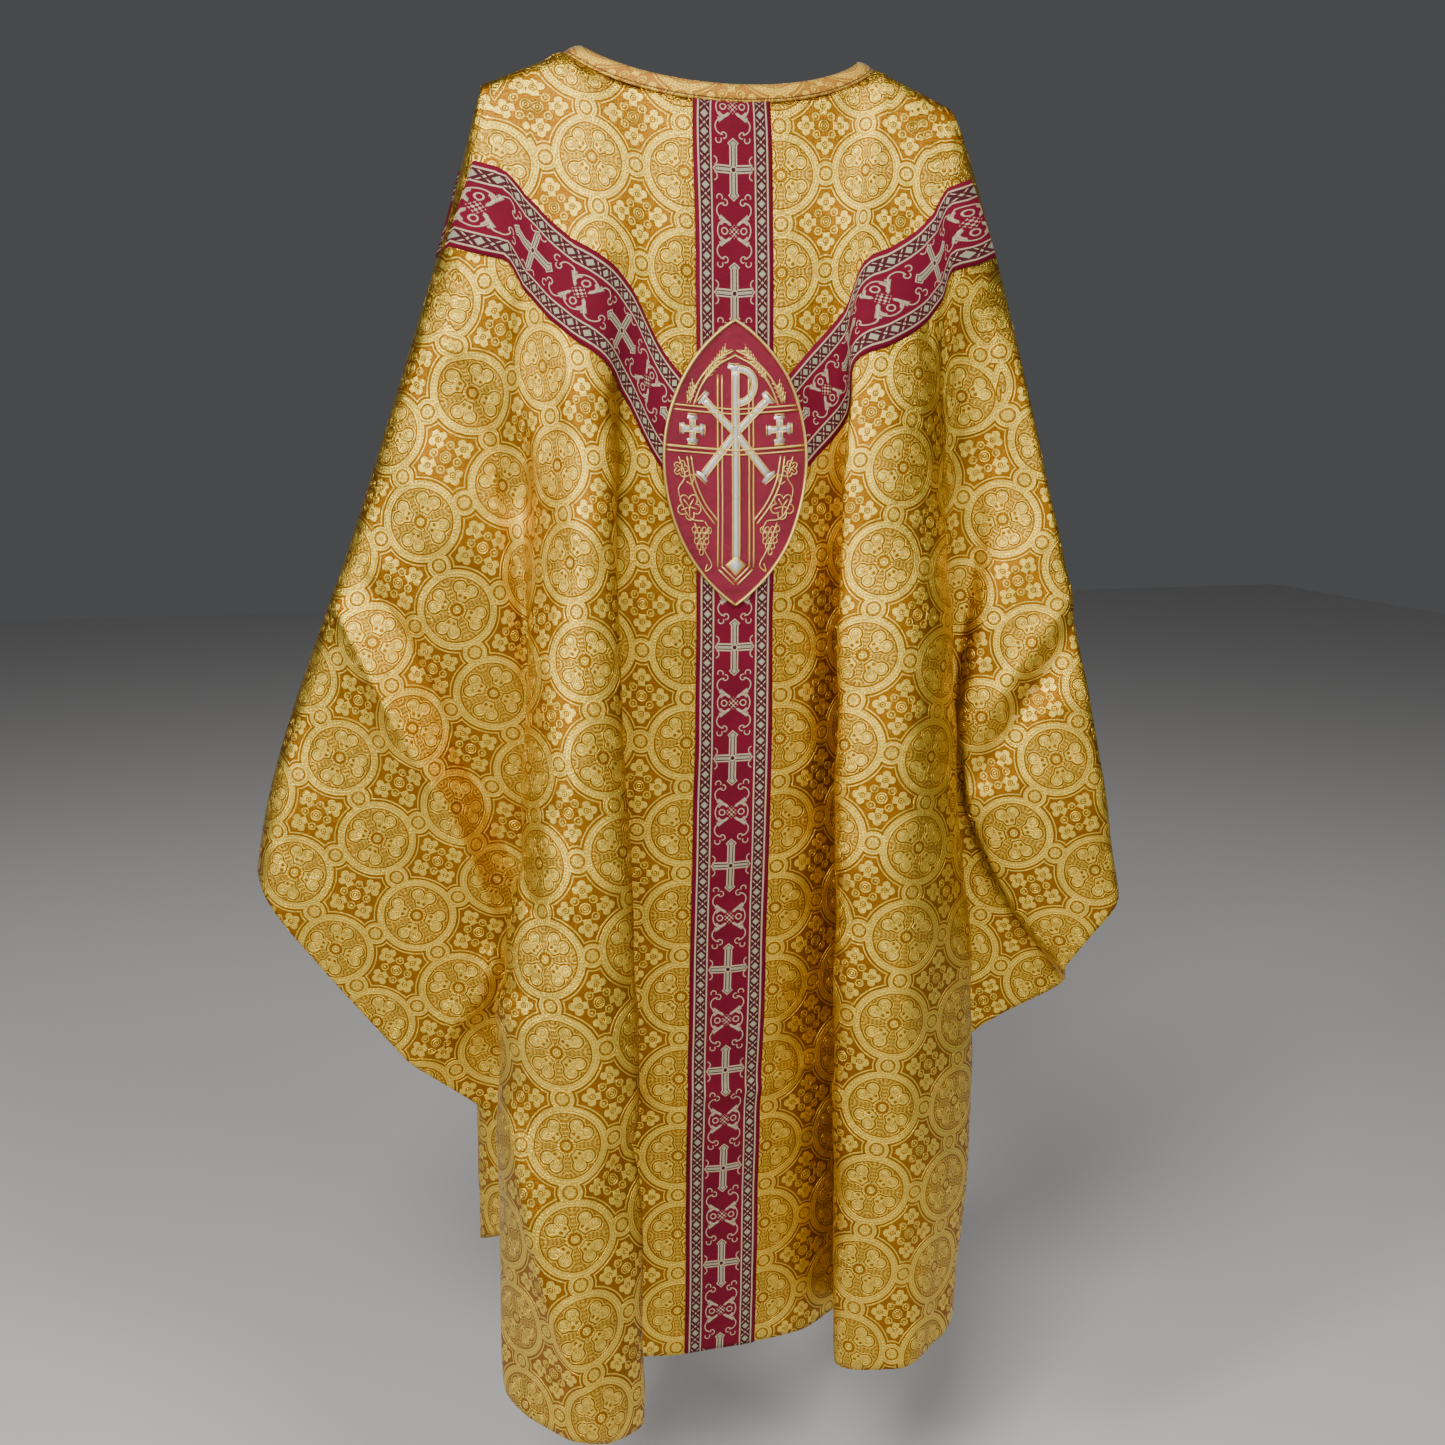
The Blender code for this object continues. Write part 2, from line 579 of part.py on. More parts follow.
def make_applique(panel, strips, name, material):
    """Join strips into one flat shape and lay it on the emblem's satin."""
    whole = strips[0]
    for other in strips[1:]:
        join = whole.modifiers.new("join", "BOOLEAN")
        join.operation = "UNION"
        join.object = other
    evaluated = whole.evaluated_get(bpy.context.evaluated_depsgraph_get())
    bm = bmesh.new()
    bm.from_mesh(evaluated.to_mesh())
    for vert in bm.verts:
        vert.co = panel.hang(vert.co.x, vert.co.y, satin_top() + vert.co.z)
    for piece in strips:
        bpy.data.objects.remove(piece)
    node(bm, name, material)


def make_monogram(panel, material):
    """A long-stemmed monogram: an upright with a loop at its head, crossed by two bars."""
    half = MONOGRAM_HEIGHT / 2
    middle = Vector((0.0, -EMBLEM_DROP - 0.008))
    head, foot = middle + Vector((0.0, half)), middle - Vector((0.0, half))
    loop_radius = MONOGRAM_HEIGHT * 0.095
    cross = middle + Vector((0.0, MONOGRAM_HEIGHT * 0.20))
    reach = MONOGRAM_HEIGHT * 0.215
    loop_middle = head - Vector((0.0, loop_radius + MONOGRAM_STROKE / 4))
    loop = [loop_middle + loop_radius * Vector((math.sin(turn), math.cos(turn)))
            for turn in (math.pi * k / 10 for k in range(11))]
    strips = [strip(line(head, foot, 6), MONOGRAM_STROKE),
              strip(loop, MONOGRAM_STROKE * 0.6)]
    for lean in (-1, 1):
        arm = Vector((lean * reach * 0.93, reach))
        strips.append(strip(line(cross - arm, cross + arm), MONOGRAM_STROKE * 0.8))
    make_applique(panel, strips, "emblem_monogram", material)


def make_charm(panel, side, name, material):
    """One of the two small crosses beside the monogram."""
    middle = Vector((side * CHARM_DISTANCE, -EMBLEM_DROP + 0.026))
    half = CHARM_SPAN / 2
    strips = [strip(line(middle - reach, middle + reach, 2), MONOGRAM_STROKE * 0.8)
              for reach in (Vector((half, 0.0)), Vector((0.0, half)))]
    make_applique(panel, strips, name, material)


def main():
    for old in list(bpy.data.objects):
        bpy.data.objects.remove(old)
    gold = cloth("gold brocade", (0.62, 0.38, 0.08), 0.35, 0.55)
    satin = cloth("gold satin lining", (0.55, 0.30, 0.05), 0.40, 0.30)
    maroon = cloth("maroon galloon", (0.20, 0.01, 0.03), 0.70, 0.0)
    crimson = cloth("crimson satin", (0.35, 0.005, 0.03), 0.45, 0.0)
    cord = cloth("gold cord", (0.80, 0.55, 0.15), 0.35, 0.8)
    silver = cloth("silver thread", (0.75, 0.75, 0.72), 0.35, 0.7)
    back, front = Panel(False), Panel(True)
    for panel, side in ((back, "back"), (front, "front")):
        make_cloth(panel, side, gold, satin)
        make_pillar(panel, side + "_pillar_galloon", maroon)
        make_arm(panel, side + "_arm_galloon_left", -1, maroon)
        make_arm(panel, side + "_arm_galloon_right", 1, maroon)
    make_binding((back, front), gold)
    make_emblem_ground(back, crimson)
    make_emblem_cord(back, cord)
    make_monogram(back, silver)
    make_charm(back, -1, "emblem_cross_left", silver)
    make_charm(back, 1, "emblem_cross_right", silver)
    for panel in (back, front):
        panel.cut.free()


main()
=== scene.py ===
import bisect
import math

import bmesh
import bpy
import numpy as np
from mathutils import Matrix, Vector, noise
from mathutils.bvhtree import BVHTree
from mathutils.geometry import barycentric_transform


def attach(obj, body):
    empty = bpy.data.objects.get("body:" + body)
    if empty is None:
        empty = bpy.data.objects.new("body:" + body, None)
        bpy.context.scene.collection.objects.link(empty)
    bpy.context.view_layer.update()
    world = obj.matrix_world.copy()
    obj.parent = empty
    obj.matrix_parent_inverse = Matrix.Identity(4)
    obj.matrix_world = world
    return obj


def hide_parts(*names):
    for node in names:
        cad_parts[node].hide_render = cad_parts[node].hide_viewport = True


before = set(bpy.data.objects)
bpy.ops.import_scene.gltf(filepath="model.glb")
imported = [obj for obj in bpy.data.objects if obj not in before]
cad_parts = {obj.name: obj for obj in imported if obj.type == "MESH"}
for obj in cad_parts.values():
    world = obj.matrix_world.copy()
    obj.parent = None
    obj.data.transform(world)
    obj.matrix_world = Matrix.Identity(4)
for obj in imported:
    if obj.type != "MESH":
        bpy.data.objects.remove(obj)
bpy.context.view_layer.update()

# ---- the cut, as in the part ---------------------------------------------------
NECK_HALF = 0.126
BACK_NECK_DROP = 0.031
FRONT_NECK_DROP = 0.100
BINDING_WIDTH = 0.015
BINDING_LEAN = 0.1
BINDING_FALL = 0.4
NECK_ARC = math.radians(65)
HEM_DROP = 1.250
SEAM_LENGTH = 0.830
SEAM_SLOPE = math.radians(48)
HEM_ROUND_ACROSS = 4.0
HEM_ROUND_DOWN = 2.4
HEM_POINTS = 240
GALLOON = 0.0010
GALLOON_WIDTH = 0.074
ARM_DISTANCE = 0.189
EMBLEM_WIDTH = 0.142
EMBLEM_HEIGHT = 0.256
EMBLEM_DROP = 0.357
SHOULDER_HALF = 0.213
SHOULDER_DROP = 0.036
RIDGE_RADIUS = 0.014
NECK_OUT = 0.034
LEVEL_ROOM = 0.020
LEVELS = (-0.15, -0.40, -0.70, -1.00, -1.30)

# ---- the way it hangs, as in the part ------------------------------------------
# Each fold line: its start along the top edge (0 centre, 1 neck point, 2 end of the
# hanger), its end along the hem (0 centre, 1 wing tip), and centimetres across and
# back at the five levels.
BACK_CENTRE = (0.00, 0.000, ((0.0, -4.2), (0.0, -4.8), (-0.3, -4.4), (-0.8, -3.8), (-1.2, -3.2)))
BACK_LEFT = (
    (0.50, 0.060, ((-6.5, -4.3), (-7.0, -4.7), (-7.6, -4.2), (-8.2, -3.6), (-8.4, -3.0))),
    (0.92, 0.120, ((-10.2, -4.4), (-10.8, -4.6), (-13.0, -3.6), (-14.0, -3.4), (-14.2, -3.2))),
    (1.00, 0.240, ((-12.4, -4.6), (-11.9, -8.0), (-11.3, -11.6), (-11.0, -14.0), (-11.6, -15.2))),
    (1.10, 0.316, ((-14.5, -4.4), (-14.9, -8.6), (-16.8, -13.2), (-17.2, -16.0), (-17.8, -17.0))),
    (1.30, 0.422, ((-16.6, -4.1), (-17.8, -5.2), (-21.2, -7.5), (-23.1, -9.0), (-23.7, -10.0))),
    (1.44, 0.571, ((-18.2, -3.9), (-19.2, -2.2), (-17.6, -0.8), (-15.8, 1.0), (-15.0, 2.0))),
    (1.82, 0.721, ((-19.8, -3.7), (-21.4, -2.2), (-21.5, 0.5), (-21.5, 3.5), (-21.5, 5.0))),
    (1.86, 0.815, ((-21.5, -3.3), (-25.2, -1.4), (-28.5, 1.2), (-31.5, 4.2), (-34.0, 6.0))),
    (1.91, 0.910, ((-22.9, -2.5), (-29.2, 0.4), (-36.0, 3.6), (-42.0, 6.5), (-46.0, 8.0))),
    (1.95, 0.968, ((-24.1, -1.0), (-32.4, 2.8), (-42.4, 6.6), (-46.0, 8.0), (-47.0, 8.5))),
)
BACK_RIGHT = (
    (0.50, 0.065, ((6.8, -4.2), (7.2, -4.5), (7.4, -3.9), (7.6, -3.1), (7.8, -2.3))),
    (0.78, 0.137, ((10.4, -4.3), (11.4, -3.2), (13.8, -1.2), (14.4, 0.4), (14.4, 1.2))),
    (1.00, 0.254, ((12.4, -4.5), (9.8, -6.6), (9.0, -8.6), (8.8, -10.0), (9.0, -10.5))),
    (1.08, 0.324, ((14.4, -4.4), (13.8, -8.2), (14.0, -11.8), (14.3, -13.0), (14.6, -13.2))),
    (1.16, 0.398, ((16.2, -4.3), (18.0, -6.8), (20.0, -9.4), (20.4, -10.2), (19.8, -10.6))),
    (1.26, 0.456, ((17.6, -4.2), (20.2, -4.8), (22.4, -6.4), (24.0, -6.4), (22.0, -7.4))),
    (1.36, 0.579, ((19.0, -4.1), (20.8, -3.0), (19.6, -1.4), (17.2, 0.8), (17.0, 1.6))),
    (1.76, 0.799, ((20.4, -4.0), (22.6, -2.6), (22.2, -0.6), (25.4, -1.6), (26.0, -2.0))),
    (1.80, 0.841, ((21.6, -3.9), (24.2, -2.7), (24.8, -1.8), (41.0, -5.0), (46.0, -6.0))),
    (1.84, 0.863, ((22.6, -3.6), (25.6, -3.7), (23.8, -4.4), (42.5, -8.2), (47.0, -9.0))),
    (1.90, 0.924, ((24.0, -3.0), (28.2, -4.8), (30.5, -7.2), (43.0, -9.4), (47.0, -10.0))),
    (1.94, 0.967, ((25.3, -1.9), (31.0, -5.4), (36.9, -8.2), (41.4, -9.2), (43.0, -9.5))),
)
SEAM_LEFT = (2.00, 1.000, ((-24.6, 0.8), (-33.0, 5.0), (-43.4, 9.0), (-46.0, 10.0), (-47.0, 10.5)))
SEAM_RIGHT = (2.00, 1.000, ((25.8, -0.5), (31.5, -4.0), (37.5, -6.6), (40.6, -7.8), (42.0, -8.0)))
FRONT_CENTRE = (0.00, 0.000, ((0.0, 4.4), (0.0, 5.2), (0.0, 5.6), (0.0, 5.4), (0.0, 5.2)))
FRONT_HALF = (
    (0.50, 0.070, ((7.0, 4.4), (7.4, 5.2), (8.0, 5.6), (8.4, 5.6), (8.6, 5.4)), 0.0),
    (0.78, 0.140, ((11.0, 4.2), (12.0, 4.8), (13.4, 4.8), (14.4, 4.4), (14.6, 4.2)), 0.0),
    (1.00, 0.270, ((13.0, 4.2), (11.8, 8.6), (10.8, 12.2), (10.2, 14.6), (10.2, 15.4)), 0.0),
    (1.30, 0.360, ((15.0, 4.1), (15.6, 10.0), (16.4, 14.8), (16.8, 17.4), (17.0, 18.2)), 0.0),
    (1.48, 0.450, ((17.0, 3.9), (19.2, 7.6), (22.0, 11.6), (23.4, 13.6), (23.8, 14.4)), 0.0),
    (1.54, 0.590, ((19.0, 3.7), (19.8, 4.2), (18.0, 5.6), (16.6, 5.2), (16.2, 5.0)), 0.1),
    (1.78, 0.742, ((20.6, 3.5), (22.2, 3.8), (22.4, 4.2), (22.4, 5.4), (22.4, 6.0)), 0.3),
    (1.82, 0.835, ((22.0, 3.1), (25.6, 3.8), (28.8, 4.8), (32.0, 5.6), (34.0, 6.0)), 0.6),
    (1.86, 0.925, ((23.4, 2.4), (29.2, 3.0), (35.2, 3.8), (39.0, 4.4), (41.0, 4.6)), 0.9),
    (1.91, 0.970, ((24.6, 1.4), (31.8, 1.8), (39.4, 2.2), (42.4, 2.4), (43.0, 2.4)), 1.0),
)
SEAM_EVEN = ((25.2, 0.2), (32.2, 0.4), (40.4, 0.6), (43.3, 0.8), (44.5, 0.8))

# ---- fineness of the finished cloth --------------------------------------------
CLOTH_ACROSS = 250            # strips round a panel, and down it
CLOTH_DOWN = 170
LINING_ACROSS = 150
LINING_DOWN = 100
LINING_INSIDE = 0.0020        # middle of the lining, inside the brocade
CLOTH_THICK = 0.0008
BINDING_THICK = 0.0012
SATIN_THICK = 0.0010          # the emblem's ground
THREAD_SUNK = 0.0003          # how far laid thread sits into the satin

# Creases left by folding and by the way the cloth breaks: points across and up, with
# how wide they are and how far they stand out (+) or sink in (-).
CREASES = (
    (((-0.370, -0.450), (-0.330, -0.523), (-0.304, -0.586), (-0.266, -0.663), (-0.222, -0.780)),
     0.020, 0.024),
    (((-0.335, -0.450), (-0.295, -0.523), (-0.269, -0.586), (-0.231, -0.663), (-0.200, -0.750)),
     0.024, -0.022),
    (((-0.250, -0.260), (-0.190, -0.410)), 0.018, -0.014),
    (((-0.315, -0.944), (-0.240, -0.863), (-0.215, -0.815)), 0.018, 0.016),
    (((-0.220, -0.927), (-0.190, -1.090), (-0.151, -1.240)), 0.020, 0.020),
    (((-0.090, -0.964), (0.028, -0.967), (0.101, -0.945)), 0.007, 0.0045),
    (((-0.095, -0.950), (-0.165, -1.005)), 0.020, -0.012),
    (((0.345, -0.490), (0.232, -0.681)), 0.024, -0.018),
    (((0.345, -0.455), (0.225, -0.641)), 0.020, 0.014),
)


# ---- the flat cut ----------------------------------------------------------------
def neck_half():
    """Half the neck opening at the binding's outer edge."""
    return NECK_HALF + BINDING_WIDTH


def ridge_start_drop():
    """How far below the neck point the shoulder ridge starts."""
    return BINDING_WIDTH * BINDING_FALL


def neck_drop(front):
    """Depth of the neck at the centre, at the binding's outer edge."""
    return (FRONT_NECK_DROP if front else BACK_NECK_DROP) + BINDING_WIDTH


def seam_flat(distance):
    """Point of the shoulder seam, a distance from the binding."""
    return Vector((neck_half() + distance * math.cos(SEAM_SLOPE), -distance * math.sin(SEAM_SLOPE)))


def neck_curve(top):
    """Shares of the neck's half width and of its drop, from the centre to the neck point."""
    turn = top * NECK_ARC
    down = (math.cos(turn) - math.cos(NECK_ARC)) / (1 - math.cos(NECK_ARC))
    return math.sin(turn) / math.sin(NECK_ARC), down


def top_flat(front, top):
    """Top edge in the flat cut: 0 centre, 1 neck point, 2 end of the hanger."""
    if top > 1.0:
        ridge = math.hypot(SHOULDER_HALF - neck_half(), SHOULDER_DROP - ridge_start_drop())
        return seam_flat((top - 1.0) * ridge)
    across, down = neck_curve(top)
    return Vector((neck_half() * across, -neck_drop(front) * down))


def hem_point(turn):
    """Hem in the flat cut by an angle: 0 centre, a quarter turn at the wing tip."""
    tip = seam_flat(SEAM_LENGTH)
    across = tip.x * math.sin(turn) ** (2 / HEM_ROUND_ACROSS)
    down = (HEM_DROP + tip.y) * max(math.cos(turn), 0.0) ** (2 / HEM_ROUND_DOWN)
    return Vector((across, tip.y - down))


def measure_hem():
    """Points along the hem and their distances from the centre."""
    points = [hem_point(math.pi / 2 * (k / HEM_POINTS) ** 2) for k in range(HEM_POINTS // 2)]
    points += [hem_point(math.pi / 2 * k / HEM_POINTS) for k in range(HEM_POINTS // 4, HEM_POINTS + 1)]
    distances = [0.0]
    for a, b in zip(points, points[1:]):
        distances.append(distances[-1] + (b - a).length)
    return points, distances


HEM = measure_hem()


def hem_flat(hem):
    """Hem in the flat cut by its length: 0 centre, 1 wing tip."""
    points, distances = HEM
    goal = hem * distances[-1]
    k = min(max(bisect.bisect_right(distances, goal) - 1, 0), len(points) - 2)
    return points[k].lerp(points[k + 1], (goal - distances[k]) / (distances[k + 1] - distances[k]))


# ---- the hanging cloth -----------------------------------------------------------
def top_hung(front, top, half=None, drop=None, out=NECK_OUT):
    """Top edge as it hangs, for one side of the garment at +X."""
    side = 1 if front else -1
    start = ridge_start_drop()
    if top > 1.0:
        share = top - 1.0
        x = neck_half() + share * (SHOULDER_HALF - neck_half())
        return Vector((x, 0.0, -start - share * (SHOULDER_DROP - start)))
    half = neck_half() if half is None else half
    drop = neck_drop(front) if drop is None else drop
    across, down = neck_curve(top)
    start *= (half - NECK_HALF) / BINDING_WIDTH
    return Vector((half * across, side * out * down ** 0.8, -start - (drop - start) * down))


def spline(points, closed=False):
    """Smooth curve through points: returns a function of a place along them."""
    count = len(points)

    def point(i):
        if closed:
            return points[i % count]
        if i < 0:
            return points[0] * 2 - points[1]
        if i >= count:
            return points[-1] * 2 - points[-2]
        return points[i]

    def at(place):
        i = math.floor(place)
        if not closed:
            i = min(max(i, 0), count - 2)
        f = place - i
        a, b, c, d = point(i - 1), point(i), point(i + 1), point(i + 2)
        near = max((b - a).length, 1e-6) ** 0.5
        span = max((c - b).length, 1e-6) ** 0.5
        far = max((d - c).length, 1e-6) ** 0.5
        out = ((b - a) / near - (c - a) / (near + span) + (c - b) / span) * span
        back = ((c - b) / span - (d - b) / (span + far) + (d - c) / far) * span
        return (b * (2 * f ** 3 - 3 * f ** 2 + 1) + out * (f ** 3 - 2 * f ** 2 + f)
                + c * (3 * f ** 2 - 2 * f ** 3) + back * (f ** 3 - f ** 2))

    return at


class FoldLine:
    """One line of the cloth from the top edge to the hem, flat and hung."""

    def __init__(self, front, side, top, hem, passes):
        self.front, self.side, self.top, self.hem = front, side, top, hem
        start = top_hung(front, top)
        start.x *= side
        points = [start]
        if top > 0.85:
            away = 1 if front else -1
            turn = 1.0 if top < 2.0 else 0.0
            points.append(start + Vector((0.3 * RIDGE_RADIUS * side, away * RIDGE_RADIUS * turn,
                                          -0.4 * RIDGE_RADIUS - 0.6 * RIDGE_RADIUS * (1 - turn))))
        for level, (across, back) in zip(LEVELS, passes):
            if level < points[-1].z - LEVEL_ROOM:
                points.append(Vector((across / 100, back / 100, level)))
        points.append(points[-1] * 2 - points[-2])
        route = spline(points)
        steps = 12 * (len(points) - 1)
        self.trail = [route(k * (len(points) - 1) / steps) for k in range(steps + 1)]
        self.along = [0.0]
        for a, b in zip(self.trail, self.trail[1:]):
            self.along.append(self.along[-1] + (b - a).length)
        self.length = (hem_flat(hem) - top_flat(front, top)).length

    def at(self, share):
        """Point on the hanging line, a share of its cloth length from the top."""
        goal = share * self.length
        k = min(max(bisect.bisect_right(self.along, goal) - 1, 0), len(self.along) - 2)
        f = (goal - self.along[k]) / (self.along[k + 1] - self.along[k])
        return self.trail[k].lerp(self.trail[k + 1], f)


def front_lines(side, seam):
    """The front's fold lines on one side, swung with that side's shoulder seam."""
    lines = []
    for top, hem, passes, follow in FRONT_HALF:
        swung = []
        for (across, back), even, real in zip(passes, SEAM_EVEN, seam[2]):
            swung.append((side * across + follow * (real[0] - side * even[0]),
                          back + follow * (real[1] - even[1])))
        lines.append(FoldLine(True, side, top, hem, swung))
    return lines


def make_loop():
    """All fold lines once round the garment, from centre back by -X to centre front."""
    left = [FoldLine(False, -1, *line) for line in BACK_LEFT]
    right = [FoldLine(False, 1, *line) for line in BACK_RIGHT]
    loop = [FoldLine(False, -1, *BACK_CENTRE)] + left + [FoldLine(False, -1, *SEAM_LEFT)]
    loop += front_lines(-1, SEAM_LEFT)[::-1] + [FoldLine(True, 1, *FRONT_CENTRE)]
    loop += front_lines(1, SEAM_RIGHT) + [FoldLine(False, 1, *SEAM_RIGHT)] + right[::-1]
    return loop


LOOP = make_loop()
SEAM_LEFT_AT = 1 + len(BACK_LEFT)
SEAM_RIGHT_AT = len(LOOP) - 1 - len(BACK_RIGHT)


def top_and_hem(place):
    """Where a place on the loop starts and ends, signed by its side of the garment."""
    i = math.floor(place) % len(LOOP)
    f = place - math.floor(place)
    a, b = LOOP[i], LOOP[(i + 1) % len(LOOP)]
    side = a.side if a.hem > b.hem else b.side
    return a.top + (b.top - a.top) * f, a.hem + (b.hem - a.hem) * f, side


def panel_places(front, count):
    """Places on the loop from seam to seam, evenly spaced along the hem."""
    first, last = (SEAM_LEFT_AT, SEAM_RIGHT_AT) if front else (SEAM_RIGHT_AT, SEAM_LEFT_AT + len(LOOP))
    marks = [0.0]
    for k in range(first, last):
        marks.append(marks[-1] + abs(LOOP[k % len(LOOP)].hem - LOOP[(k + 1) % len(LOOP)].hem))
    places = []
    for n in range(count + 1):
        goal = marks[-1] * n / count
        k = min(max(bisect.bisect_right(marks, goal) - 1, 0), len(marks) - 2)
        places.append(first + k + (goal - marks[k]) / (marks[k + 1] - marks[k]))
    return places


def crease_height(x, z):
    """How far the creases lift the cloth at a point across and up."""
    height = 0.0
    for points, width, lift in CREASES:
        near, end_share = 1.0, 0.0
        for k, (a, b) in enumerate(zip(points, points[1:])):
            run = (b[0] - a[0], b[1] - a[1])
            f = ((x - a[0]) * run[0] + (z - a[1]) * run[1]) / (run[0] ** 2 + run[1] ** 2)
            f = min(max(f, 0.0), 1.0)
            distance = math.hypot(x - a[0] - f * run[0], z - a[1] - f * run[1])
            if distance < near:
                near, end_share = distance, (k + f) / (len(points) - 1)
        if near < 4 * width:
            fade = math.sin(math.pi * min(max(end_share, 0.02), 0.98)) ** 0.5
            height += lift * fade * math.exp(-near / width)
    return height


def ripple(u, v):
    """Soft unevenness of hanging cloth: long folds down the grain and small dents."""
    down = min(-v / 0.25, 1.0)
    long = noise.noise(Vector((u * 14.0, v * 2.5, 3.1)))
    dents = noise.noise(Vector((u * 24.0, v * 13.0, 8.7)))
    small = noise.noise(Vector((u * 70.0, v * 50.0, 1.9)))
    return down * (0.0040 * long + 0.0030 * dents + 0.0006 * small)


LINKS = ((0, 1), (1, 0), (1, 1), (1, -1))


def ends_of(grid, link):
    """The grid's points at both ends of every link of one kind."""
    down, across = link
    rows, columns = grid.shape[0] - down, grid.shape[1] - abs(across)
    left = max(-across, 0)
    far = left + across
    return ((slice(0, rows), slice(left, left + columns)),
            (slice(down, down + rows), slice(far, far + columns)))


def true_lengths(hung, link, step):
    """Lengths on the hung cloth of every link of one kind, measured cell by cell."""
    down, across = link
    rows = np.arange(0, hung.shape[0] - down * step, step)
    columns = np.arange(step if across < 0 else 0, hung.shape[1] - max(across, 0) * step, step)
    total = 0.0
    for k in range(step):
        a = hung[rows + k * down][:, columns + k * across]
        b = hung[rows + (k + 1) * down][:, columns + (k + 1) * across]
        total = total + np.linalg.norm(b - a, axis=2)
    return total


def settle(flat, goals, rounds):
    """Move flat points until the links between them have their goal lengths."""
    middle = np.abs(flat[-1, :, 0]).argmin()
    kept = flat[:, middle].copy()
    for _ in range(rounds):
        move = np.zeros_like(flat)
        for link, goal in zip(LINKS, goals):
            a, b = ends_of(flat, link)
            gap = flat[b] - flat[a]
            far = np.maximum(np.linalg.norm(gap, axis=2), 1e-9)
            push = gap * ((far - goal) / far / 2)[:, :, None]
            move[a] += push
            move[b] -= push
        flat = flat + move * 0.28
        flat[:, middle] = kept
    return flat


def unstretched(hung, flat, step=5):
    """Flat places whose spacing is that of the hung cloth: coarsely first, then finely."""
    fine = [true_lengths(hung, link, 1) for link in LINKS]
    coarse = [true_lengths(hung, link, step) for link in LINKS]
    seed = flat[::step, ::step]
    shift = settle(seed, coarse, 400) - seed
    rows, columns = np.arange(flat.shape[0]) / step, np.arange(flat.shape[1]) / step
    r = np.minimum(rows.astype(int), shift.shape[0] - 2)
    c = np.minimum(columns.astype(int), shift.shape[1] - 2)
    down, across = (rows - r)[:, None, None], (columns - c)[None, :, None]
    upper = shift[r][:, c] * (1 - across) + shift[r][:, c + 1] * across
    lower = shift[r + 1][:, c] * (1 - across) + shift[r + 1][:, c + 1] * across
    return settle(flat + upper * (1 - down) + lower * down, fine, 60)


